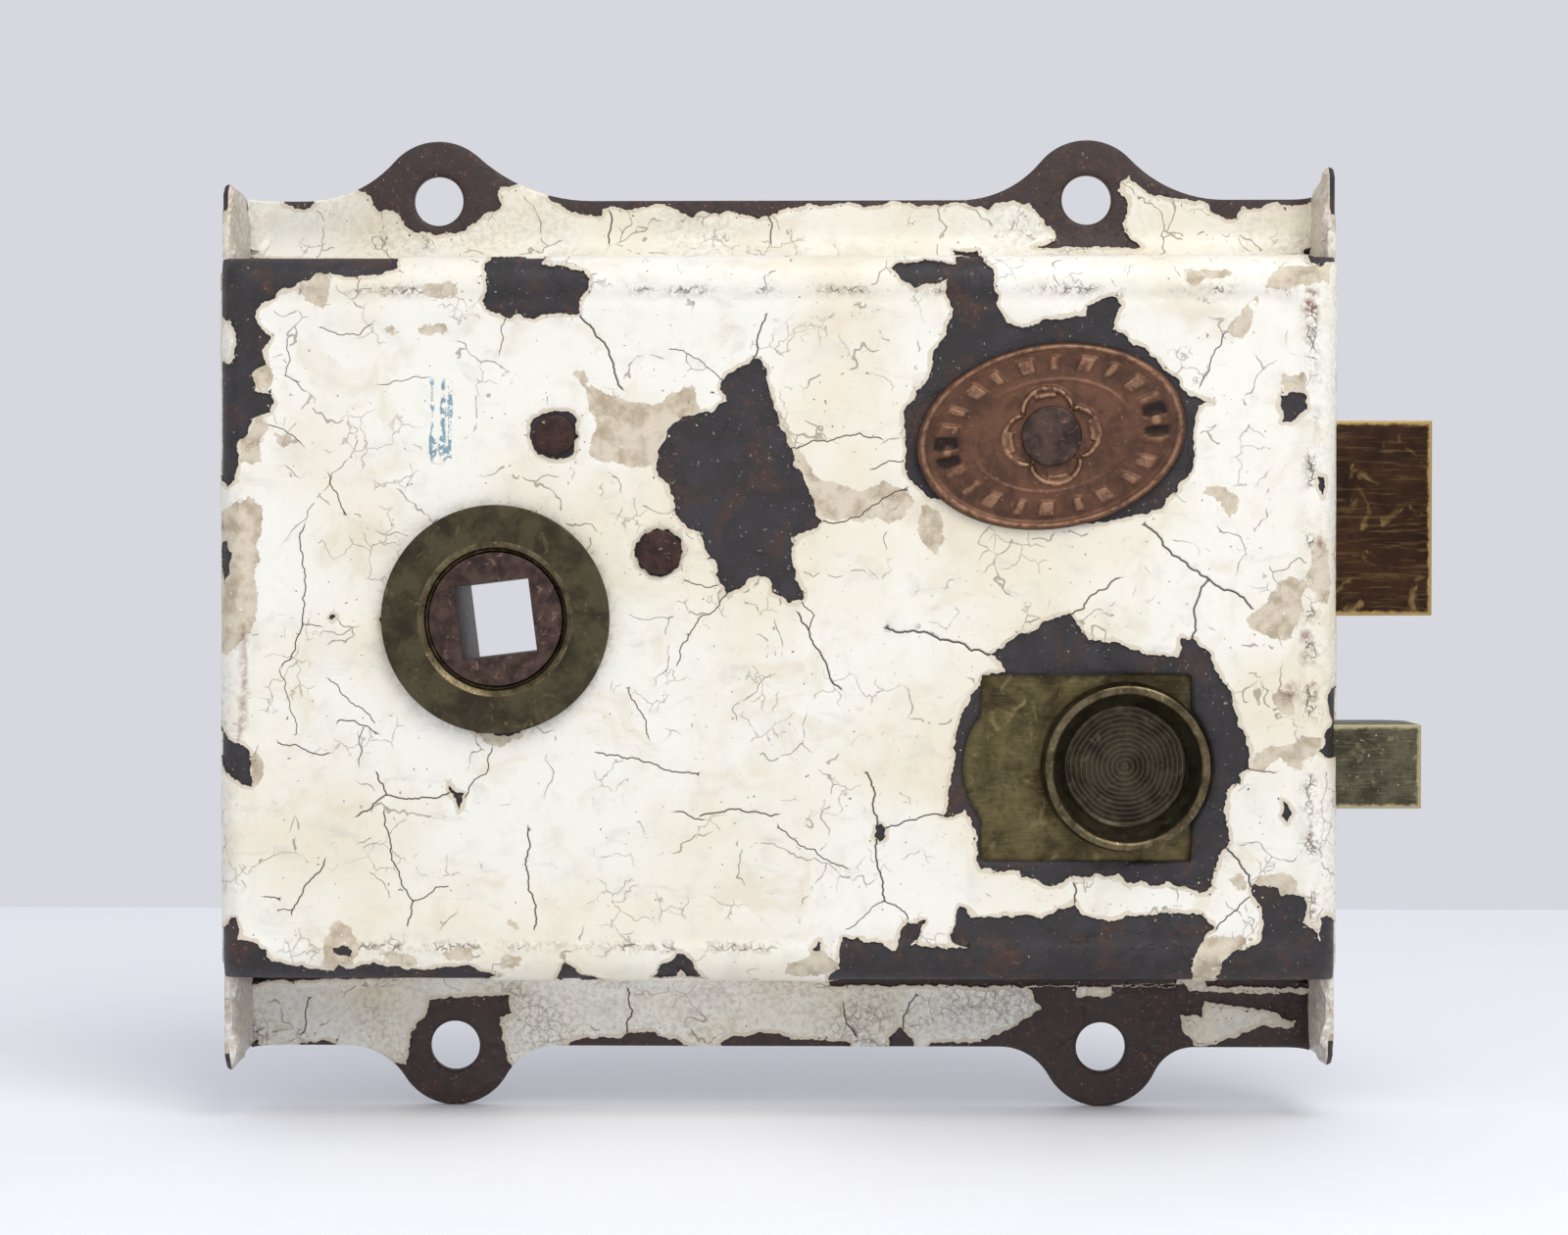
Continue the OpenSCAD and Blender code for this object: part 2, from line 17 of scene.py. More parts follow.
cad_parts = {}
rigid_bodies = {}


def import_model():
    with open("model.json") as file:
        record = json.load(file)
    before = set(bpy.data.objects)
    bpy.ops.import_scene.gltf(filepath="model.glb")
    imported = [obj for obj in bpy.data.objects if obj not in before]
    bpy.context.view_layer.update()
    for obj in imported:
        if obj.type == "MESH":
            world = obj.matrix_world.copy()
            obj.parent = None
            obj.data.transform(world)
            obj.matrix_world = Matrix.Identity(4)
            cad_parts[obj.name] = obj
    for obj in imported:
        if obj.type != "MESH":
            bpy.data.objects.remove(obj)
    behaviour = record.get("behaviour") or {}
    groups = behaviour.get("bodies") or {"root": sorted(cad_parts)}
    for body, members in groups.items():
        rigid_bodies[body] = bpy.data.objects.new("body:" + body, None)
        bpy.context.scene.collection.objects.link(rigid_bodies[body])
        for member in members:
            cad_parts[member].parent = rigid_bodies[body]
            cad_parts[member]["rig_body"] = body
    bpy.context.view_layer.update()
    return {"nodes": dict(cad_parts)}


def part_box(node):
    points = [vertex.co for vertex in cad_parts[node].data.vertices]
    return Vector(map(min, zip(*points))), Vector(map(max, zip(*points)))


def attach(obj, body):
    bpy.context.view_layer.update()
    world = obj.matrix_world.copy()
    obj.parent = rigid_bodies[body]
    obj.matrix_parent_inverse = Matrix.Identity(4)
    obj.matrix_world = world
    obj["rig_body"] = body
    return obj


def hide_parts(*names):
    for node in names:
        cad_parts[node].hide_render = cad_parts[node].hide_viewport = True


MM = 0.001

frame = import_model()


# ---------------------------------------------------------------- sizes in mm, as in the CAD part


def span(node, axis):
    """Lowest and highest value of a CAD node along an axis, in mm."""
    lo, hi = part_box(node)
    return lo[axis] / MM, hi[axis] / MM


X0, X1 = span("case", 0)
FRONT_Y = span("case", 1)[0]
LEFT_IN = span("end_plate", 0)[1]
RIGHT_IN = span("forend", 0)[0]
CASE_LEN = X1 - X0
MID_X = (X0 + X1) / 2
BOX_Z = 41.275
UPPER_EDGE, LOWER_EDGE = 48.975, -50.675
ROLL = 3.0
BEND = 4.5
SHEET = 1.5
DISH = 0.5
BEND_Y = -(SHEET + BEND)
FLAT_END = BOX_Z - ROLL
ARC_END = FLAT_END + ROLL * math.pi / 2
WALL_END = ARC_END + (BEND_Y - FRONT_Y - ROLL)
BEND_END = WALL_END + BEND * math.pi / 2
FLANGE_SHIFT = BEND_END - BOX_Z - BEND
ROLL_END = CASE_LEN / 2 - ROLL + ROLL * math.pi / 2

COLLAR_R, SPIGOT_R, MOUTH_R = 12.9, 9.4, 8.0
HOLE_R, EAR_R = 2.9, 7.0
UPPER_HOLES, LOWER_HOLES = (-8.4, 67.8), (-6.6, 69.6)
UPPER_BASES, LOWER_BASES = ((15.6, 18.1), (14.9, 16.2)), ((12.7, 12.0), (11.9, 11.0))
CUP = (71.2, -16.7)
CUP_REST_X = (62.5, 71.2)
WINDOW_X, WINDOW_Z, WINDOW_R = (54.9, 78.6), (-27.4, -6.3), 9.7
BADGE = (62.7, 20.6)
BADGE_A, BADGE_B, BADGE_TURN = 15.3, 10.4, math.radians(9)
RIVET_R = 3.4
UPPER_STUMP, LOWER_STUMP = (6.7, 20.8), (18.5, 7.56)

PAINT_T = 0.24
UNDER_T = 0.1
FAR = 3.0
EDGE_STEP = 0.8


# ---------------------------------------------------------------- wear of the paint

# Places where the paint is gone down to the japan, as [x, z] outlines on the front
BARE = {
    "upper_left_corner": [(-35, 44), (-30, 42.2), (-13.4, 41.7), (-11.1, 40.6), (-11.1, 39.6),
        (-12.8, 38.9), (-16.5, 38.6), (-18.7, 39.2), (-20.2, 39.1), (-21.9, 38.1), (-24.4, 37.1),
        (-25.6, 35.9), (-27.1, 34.9), (-26.9, 33.4), (-25.4, 32), (-26.4, 30.5), (-25.9, 28.8),
        (-27.6, 27.5), (-27.3, 25.8), (-25.4, 25.4), (-25.5, 23.4), (-27.6, 22.6), (-28, 21.1),
        (-28.9, 20.3), (-29.1, 18), (-29.5, 15.8), (-30.5, 14.9), (-31.5, 15.8), (-35, 15.8)],
    "upper_chip": [(-1.3, 40.2), (-0.5, 41.2), (4.8, 41.3), (5.2, 40.2), (7.5, 40), (10, 39.4),
        (10.7, 38.4), (10.4, 37), (9.6, 36.2), (9.6, 34.6), (8.5, 34.3), (6.2, 34.5),
        (4.5, 33.9), (2.8, 34.4), (1.6, 33.9), (0.5, 34.5), (-1, 34.9), (-1.5, 36),
        (-0.9, 37.5)],
    "middle": [(29.2, 29.5), (30.6, 28.3), (31, 25.8), (31.7, 23.4), (32, 21.9), (32.9, 20),
        (33.6, 17.4), (34.8, 15.9), (36, 13.1), (36.9, 11.1), (35.6, 9.9), (33.4, 9.2),
        (33.6, 6.1), (33.9, 4.4), (34.8, 3.2), (34.6, 2), (33.2, 1.8), (32.7, 2.3), (31.2, 3),
        (31, 4.4), (29.3, 4.8), (28.4, 4.4), (26.9, 3.2), (26.1, 2.8), (25.4, 4), (25, 6.1),
        (23.6, 8), (23, 9.9), (21.4, 10.7), (20.5, 11.6), (20.1, 13.8), (19, 15.7),
        (18.1, 16.9), (18.3, 18.8), (19.3, 20.7), (20.2, 22.2), (22.1, 23), (24.4, 23.3),
        (26.1, 24.6), (25.4, 25.8), (26.4, 27.8), (27.8, 28.6)],
    "badge_halo": [(52.1, 43), (55, 43), (55.2, 40.3), (56.3, 38.8), (56.7, 36.6), (56.9, 34.8),
        (57.7, 33.4), (59.1, 33), (61.5, 33.6), (64.9, 34), (66.6, 34.2), (66.6, 35.3),
        (69.5, 36.4), (70.6, 35.3), (70, 34), (69.6, 32.6), (71.4, 31.3), (73.8, 29.7),
        (76.2, 27.5), (77.8, 25.7), (79.4, 24.9), (81, 24.3), (79.2, 24), (78.9, 22.5),
        (78.7, 20.7), (78.7, 17.7), (77.7, 15.7), (76.8, 14.2), (75.6, 13.6), (75, 12.4),
        (73.3, 11.8), (70, 11.2), (66, 10.8), (60, 11.5), (54, 12.5), (50.5, 13.4),
        (48, 14.6), (46.3, 16.8), (46.2, 20), (46, 23.4), (47, 24.6), (48.4, 26.5),
        (49.4, 28.9), (50.2, 31.3), (51, 33.2), (51.6, 35), (50.9, 36.4), (51, 38.3),
        (49.2, 37.7), (47.3, 37.2), (45.7, 38.3), (44.6, 39.6), (45.7, 40.4), (48.5, 40.8),
        (52, 40.2)],
    "recess_surround": [(50.3, -22.4), (51.2, -20.2), (51.7, -17.1), (51.6, -14.5),
        (52.4, -11.4), (53.6, -8.6), (54.8, -6.9), (57.5, -6), (56.8, -4.7), (55.8, -4),
        (57.5, -3), (59.1, -1.6), (61.5, -0.6), (63.3, 0.2), (64.7, 0.7), (65.6, -0.4),
        (66.9, -2.3), (70.7, -2.9), (74.6, -4), (77.1, -4.2), (77.3, -2.1), (78.7, -2.1),
        (80.1, -3.3), (81, -5), (82.1, -7.1), (83.2, -9.2), (83.8, -12.1), (85, -14.8),
        (85.1, -16.9), (83.9, -17.5), (84.1, -18.6), (82.6, -19.2), (82.4, -21),
        (82.8, -23.9), (82.5, -25.9), (81.6, -26.7), (81.1, -28.3), (80.9, -30.1),
        (79.4, -31), (77.8, -30.1), (75.7, -29.6), (74.7, -30.1), (72.9, -29.5),
        (71.3, -29.8), (70.4, -28.7), (67.9, -28.7), (65.4, -29), (64.5, -29.3),
        (63.3, -30.1), (61.4, -29.5), (59.4, -29.2), (59.2, -28.4), (57.4, -28.6),
        (55.8, -28.1), (54.8, -28.3), (54.4, -25.9), (53.8, -23.4), (53, -21.5)],
    "lower_band": [(37.8, -40.3), (38.9, -39.5), (38.8, -37.4), (39.2, -35.9), (41, -35.9),
        (41.6, -36.5), (44, -36.9), (45.2, -37.4), (45.7, -35.6), (46.5, -34.1), (48.7, -34),
        (48.1, -35.3), (46.9, -36.8), (53.4, -37.1), (51.3, -35.7), (52, -33.8),
        (52.4, -32.4), (53.1, -32.6), (53.7, -33.7), (58.3, -33.7), (60.5, -33.4),
        (61.7, -33.8), (63.6, -32.6), (65.4, -32.1), (66.1, -33.2), (69.2, -34.1),
        (72.3, -33.5), (75.4, -33.1), (78.8, -33.1), (80.3, -33.8), (81.2, -34.8),
        (80.3, -35.4), (79.4, -36.9), (78.5, -39.4), (78.2, -43.5), (37.8, -43.5)],
    "lower_right_corner": [(82, -43.5), (81.9, -39.1), (82.5, -38.2), (84, -37.2),
        (85.9, -36.6), (86.5, -35.1), (86.5, -33.2), (85.3, -30.4), (85.6, -29.8),
        (87.8, -30.1), (88.7, -31.2), (91.2, -31.2), (91, -34.1), (93, -36.3), (93, -33.5),
        (94, -33.4), (98, -34.5), (98, -43.5)],
    "lower_left_corner": [(-35, -35.1), (-31.8, -35.1), (-29.6, -33.7), (-29.1, -35.1),
        (-29.4, -36.3), (-28.4, -36.4), (-27.5, -36.6), (-26.1, -37.4), (-25.5, -38.8),
        (-23.1, -39.3), (-22, -39.1), (-19.9, -39.8), (-18.5, -39.9), (-17.9, -39.1),
        (-16.1, -39.6), (-13.8, -38.8), (-12, -39.3), (-10, -39.8), (-8.2, -39.8),
        (-6.8, -39.5), (-3.5, -39.2), (-2.1, -39.8), (0.5, -40.4), (-3, -41.6),
        (-11.4, -42), (-14.6, -42.6), (-28, -43), (-35, -44.5)],
    "left_edge_spot": [(-30.8, 8.9), (-29.9, 7.4), (-30.3, 5.1), (-31, 4.2), (-31.4, 5.6),
        (-31.6, 8.2)],
    "left_edge_chip": [(-31.6, -11.6), (-30.7, -13.1), (-29.8, -13.9), (-28.6, -14.3),
        (-27.9, -15.2), (-27.7, -16.4), (-27.6, -19), (-28.8, -18.8), (-30, -18),
        (-31.2, -16.9), (-33, -15)],
    "below_collar_spot": [(-5.5, -18.4), (-5.2, -19), (-4.6, -19.6), (-3.6, -19.7), (-4, -20.9),
        (-4.2, -21.7), (-4.5, -20.9), (-4.9, -20)],
    "crack_spot": [(42.9, -23.4), (43.6, -23.1), (44.1, -23.7), (44, -24.7), (43.4, -25.2),
        (42.8, -24.6)],
    "lower_lip_spot": [(7, -40.3), (7.6, -38.9), (8.7, -39.4), (10, -40.4), (12.7, -41),
        (8, -41.4)],
    "lower_lip_chip": [(17.6, -40.8), (18.5, -39.2), (20.5, -37.8), (21.5, -38), (22.4, -39.2),
        (23.6, -40.9), (21.4, -40.6), (20.9, -39.7), (20.2, -40.7)],
    "blister_top": [(-18.5, -37.2), (-17.4, -36.9), (-16.3, -37.5), (-16.4, -38.2),
        (-17.6, -38.1), (-18.4, -37.8)],
    "right_edge_spot": [(88.4, 25.2), (91.3, 25.2), (91.4, 23.6), (90.2, 22.6), (88.6, 22.2)],
    "right_edge_dot": [(92.6, 16.1), (93.4, 16), (93.5, 14.8), (93.2, 13.9), (92.7, 14.8)],
    "right_edge_chip": [(94.3, -7.7), (98, -8), (98, -15.8), (93.5, -15.5), (92.8, -14.9),
        (93.6, -14), (93.7, -12.5), (94.5, -11.5), (93.9, -9.5)],
    "upper_right_corner": [(91.7, 41.1), (93.1, 43), (98, 43), (98, 38.6), (94.4, 40.3),
        (92.9, 39.7), (91.9, 40.1)],
    "right_field_spot": [(88.7, -20.4), (89.4, -20.9), (89.8, -22), (89.3, -23), (88.6, -22.2)],
    "collar_shadow_chip": [(-2.9, -12.3), (3.4, -12.3), (2.6, -13), (0.4, -13.3), (-1.9, -12.9)],
    "lower_lip_dot": [(35.7, -37.4), (36.6, -36.2), (36.8, -37.5)],
    "scar_dot": [(-19, 0.1), (-18.6, 0.6), (-18.2, 0.2), (-18.6, -0.2)],
    "upper_stump_ring": [(9.4, 20.6), (9.2, 22.4), (8.1, 23.5), (6.6, 23.6), (5.2, 23.2),
        (4.2, 22.6), (3.9, 21.2), (4.1, 19.8), (4.7, 18.6), (6, 18.2), (7.6, 18.1),
        (8.9, 18.9)],
    "lower_stump_ring": [(21.2, 7.7), (20.9, 9.1), (19.6, 10.2), (18.2, 10.3), (16.8, 9.7),
        (15.8, 8.5), (15.7, 7.1), (16.4, 5.7), (17.6, 4.9), (19.2, 4.9), (20.6, 5.8)],
    "scar_nick": [(-13.2, 0.2), (-12.9, 0.2), (-12.8, -0.6), (-13.1, -0.6)],
}

# The same on the bends and flanges
FLANGE_BARE = {
    "upper_left_ear": [(-18, 50.3), (-16.4, 49.5), (-15.4, 47.7), (-13.3, 47.5), (-12.5, 46.2),
        (-10.7, 45.2), (-8.6, 44.9), (-6.3, 45.1), (-4.5, 46.2), (-3.2, 47.2), (-1.7, 47.7),
        (-0.9, 48.5), (-1.1, 50.6), (1.5, 51.7), (1.5, 60), (-18, 60)],
    "upper_left_edge": [(-26.6, 48.7), (-25.3, 48), (-23.7, 48.1), (-23, 48.7), (-23, 51.3),
        (-26.6, 51.3)],
    "upper_edge": [(4.5, 49.5), (6.1, 48.5), (8.4, 47.3), (10.8, 47.1), (11, 48), (15.4, 48.1),
        (16.7, 48.4), (19.3, 48), (21.4, 46.9), (22.7, 47.7), (24.7, 47.3), (25.8, 47.7),
        (28.4, 47.1), (30.4, 47.1), (31.7, 47.7), (36.1, 48.4), (40.5, 48.6), (42.7, 48.3),
        (44.9, 48.9), (48.3, 48.2), (52.8, 48.6), (56.2, 47.7), (57.3, 48.6), (59.3, 48.9),
        (61.1, 48.6), (62.9, 46.1), (64.1, 45.2), (64.1, 44.2), (61.5, 43.3), (74.2, 43.3),
        (72.8, 44.5), (72.2, 45.2), (72.5, 48.9), (71.4, 50), (72.8, 51.8), (73.9, 50.6),
        (75.6, 49.4), (78.7, 49), (81.8, 48.5), (83, 47.2), (84.1, 46.6), (85.4, 46.7),
        (86, 48.1), (87.3, 47.9), (89, 48.4), (91.2, 48.2), (92.5, 48.2), (96, 48.3), (96, 60),
        (4.5, 60)],
    "lower_left_ear": [(-9.6, -45.2), (-0.1, -44.6), (0.3, -46.9), (-1.3, -47.3), (-0.6, -50.6),
        (-0.1, -52.7), (1.6, -53.6), (3, -60), (-13, -60), (-19.5, -52), (-19.5, -51.2),
        (-17, -51.8), (-13.9, -52.7), (-12.4, -52.9), (-11.9, -49.3), (-10.6, -47.6)],
    "lower_edge_1": [(-25, -50.4), (-22.5, -50), (-20.4, -51), (-21, -52), (-25, -52)],
    "lower_edge_2": [(-31, -50.2), (-29.8, -49.6), (-29.6, -52), (-31, -52)],
    "lower_edge_3": [(5.4, -51.2), (6.9, -50.4), (9.1, -49.5), (11, -49.5), (13.8, -49.1),
        (16.9, -48.9), (19.4, -49.7), (21.6, -50.8), (21.6, -53), (5.4, -53)],
    "lower_edge_4": [(24.8, -50.2), (26.6, -49.4), (30.6, -49.1), (34, -49.7), (37.1, -49.7),
        (40.2, -50.2), (40.2, -53), (24.8, -53)],
    "lower_edge_5": [(44.6, -49.7), (46.1, -48.3), (47.5, -49.7), (47.5, -53), (44.6, -53)],
    "lower_right": [(49.5, -50.2), (54.2, -50.2), (55.1, -50), (59.7, -48.1), (62.6, -46.1),
        (60.8, -43.5), (66.8, -43.3), (66.8, -44.8), (70.7, -44.6), (70.7, -43.3),
        (79.2, -43), (80, -44), (92.2, -44.2), (96, -43.5), (96, -60), (49.5, -60)],
}

# Paint left standing inside the bare places
ISLANDS = {
    "upper_left": [(-31.2, 34.2), (-29.9, 33.6), (-29.3, 31.5), (-29.5, 29.5), (-30.6, 28.9),
        (-31.6, 29.8)],
    "lower_right": [(78.9, -46.8), (81.5, -47.1), (81.8, -45.2), (86, -45.8), (88.6, -46.1),
        (92.5, -47.4), (92.2, -48.2), (88.3, -48.1), (86, -49.1), (82.1, -50.4),
        (80.5, -50.4), (79.5, -49.1)],
}

# Places where only the top coat is gone
UNDER = {
    "upper_stump": [(8.9, 28.4), (9.9, 28.2), (11.1, 26.5), (12.6, 25.3), (14.5, 24.7),
        (18.5, 24.3), (19.5, 25.3), (20.9, 25.7), (21.9, 26.9), (22.7, 26), (23.2, 23.3),
        (22.1, 22), (19.3, 20.7), (18.3, 18.8), (18.1, 16.9), (17.1, 17.6), (16.4, 17),
        (15, 17), (12.5, 17.6), (10.5, 18.9), (10.8, 20.5), (11.5, 22), (10.5, 23.5),
        (10.4, 25.5), (9, 27)],
    "middle": [(31, 25.8), (32.2, 23.4), (33, 21.5), (34.2, 19), (35.1, 18.6), (35.6, 17.5),
        (36, 16.2), (38, 15.2), (39.6, 15), (40.8, 14.3), (42.7, 14.7), (43.2, 15.7),
        (42.5, 16.2), (44.2, 15.7), (45.9, 14.5), (47.8, 13.8), (46.8, 12.8), (46.1, 11.4),
        (44.7, 10.7), (42.7, 11.5), (40.8, 10.9), (38.9, 10.9), (37, 11.2), (36, 13.1),
        (34.8, 15.9), (33.6, 17.4), (32.9, 20), (32, 21.9), (31.7, 23.4)],
    "below_badge": [(48, 12.8), (50.3, 12.4), (50.6, 8), (49.8, 7.2), (48.6, 8.2), (47.8, 9.5)],
    "left_band": [(-35, 13.5), (-31.5, 12), (-29.3, 13.2), (-27.7, 14), (-26.5, 13),
        (-26.7, 10.2), (-27, 8.2), (-26.5, 7.1), (-27.2, 5.6), (-27, 3.6), (-26.9, 2.3),
        (-27.6, -1), (-29.3, -2.2), (-29.5, -3.5), (-31.5, -4), (-35, -4)],
    "left_1": [(-28.9, 20.3), (-28, 21.2), (-27.2, 22.8), (-26.2, 23.2), (-25.8, 22),
        (-26.6, 20.5), (-26.2, 18), (-27.5, 17.4), (-29.1, 17.7)],
    "left_2": [(-25, 21.3), (-24, 21), (-22.5, 20.1), (-23.7, 19.4), (-24.9, 19.6)],
    "left_3": [(-27.4, 28.8), (-25.9, 29.1), (-25.4, 27.8), (-24.9, 27.6), (-25.2, 25.6),
        (-26.8, 25.7), (-27.4, 26.5)],
    "top_1": [(-21.9, 38.1), (-20.2, 39.1), (-18.7, 39.2), (-18.5, 37.5), (-19, 36),
        (-19.5, 34.9), (-21, 35.4), (-22, 36.6)],
    "top_2": [(-13.5, 37), (-11, 37.9), (-10.3, 37.5), (-11.5, 36.6), (-13, 36.3)],
    "top_3": [(-8.4, 38), (-6, 37.8), (-4.2, 38.5), (-4, 36.9), (-6, 36.2), (-8, 36.3)],
    "top_4": [(-13.3, 32.3), (-11.5, 33.4), (-10.6, 32.6), (-11.8, 32)],
    "top_5": [(-9.7, 32.2), (-8, 33.3), (-5.8, 33.4), (-5.4, 32.4), (-7.5, 32.2)],
    "right_top_1": [(87, 38.6), (88.6, 39.9), (89.9, 39.7), (94.4, 40.2), (94.2, 37.8),
        (92.3, 38), (90.4, 37.6), (89.1, 37), (86.6, 37.2)],
    "right_top_2": [(77.8, 39.4), (83.3, 39.4), (83, 38.5), (80, 38.3), (79, 37.4),
        (77.7, 37.8)],
    "right_top_3": [(86.4, 37), (85.8, 35.8), (85.2, 32.9), (83.9, 31.5), (82.3, 32.3),
        (83.5, 33.9), (85, 36)],
    "right_1": [(88.6, 27.8), (91.1, 27.8), (91.1, 25.4), (88.6, 25.4)],
    "right_2": [(79.8, 14.6), (81.5, 15.2), (83.2, 14.3), (84, 13), (83.6, 11.9), (82.8, 11.4),
        (82, 12.3), (81.5, 13.4), (80.3, 13.9)],
    "right_3": [(84.7, 0), (86.9, 2.1), (88.4, 4.4), (89.8, 5), (91.3, 3.8), (90.4, -0.3),
        (89.8, -2.1), (88.1, -2.5), (85.1, -1.2)],
    "right_4": [(92.2, 8.9), (93.7, 8.6), (94.3, 5), (94, 1.8), (93.1, 1.6), (91.9, 3.2),
        (91.3, 5), (91.9, 6.8)],
    "right_5": [(87.2, -9.2), (88.4, -7.4), (90.1, -9.2), (90.1, -10.7), (88.7, -11)],
    "right_6": [(86.6, -14.5), (90, -14), (91, -13.1), (93.2, -13.1), (93, -15.4),
        (91.5, -15.6), (91, -17.2), (89.5, -17), (88.5, -15.6), (87, -17), (85, -17)],
    "right_7": [(85.6, -28.9), (88, -28.4), (89.6, -28.7), (90.6, -30), (90.7, -31.1),
        (88.8, -31.2), (87.8, -30.1), (86, -30)],
    "right_8": [(82.5, -28.9), (84.3, -28.3), (85, -30), (84.9, -31), (83.7, -30.5)],
    "right_low": [(78.2, -43), (79.4, -36.9), (80.3, -35.5), (82.5, -36), (84.7, -36),
        (85.9, -36.3), (83.7, -37.6), (82.5, -38.2), (81.9, -39.1), (82, -43)],
    "low_1": [(31.7, -40.2), (33, -39), (35, -38), (36.5, -37.3), (38, -38), (38.8, -38.9),
        (38.4, -39.9), (37, -40.4), (34, -40.5)],
    "low_2": [(-13.5, -37.9), (-11, -37.6), (-8.8, -38.3), (-9.5, -39.5), (-12, -39.2)],
    "low_3": [(-6.2, -38), (-4, -36.9), (-2.4, -37.3), (-2.6, -38.9), (-5, -38.9)],
    "low_4": [(-0.2, -38.6), (1.5, -37.8), (3.2, -38.4), (2.6, -39.5), (0.6, -39.6)],
    "low_5": [(0.8, -34), (2.2, -34.2), (2.7, -35), (1.5, -35.2)],
    "blister": [(-19.6, -36.9), (-18.8, -34.8), (-17.9, -34), (-16.5, -35), (-15.7, -36.5),
        (-15.5, -38), (-16.5, -39.3), (-18.2, -39.8), (-19.8, -39.4)],
    "below_collar": [(-2.4, -12.9), (3.3, -12.9), (2.5, -13.6), (0.6, -14.7), (-0.8, -14.3)],
    "left_low": [(-27.8, -15), (-26.6, -16), (-26.3, -17.5), (-27.3, -19.3), (-27.9, -18.5)],
    "flange": [(61.5, 50.6), (62.9, 50.6), (62.9, 47.7), (61.5, 48.3)],
}

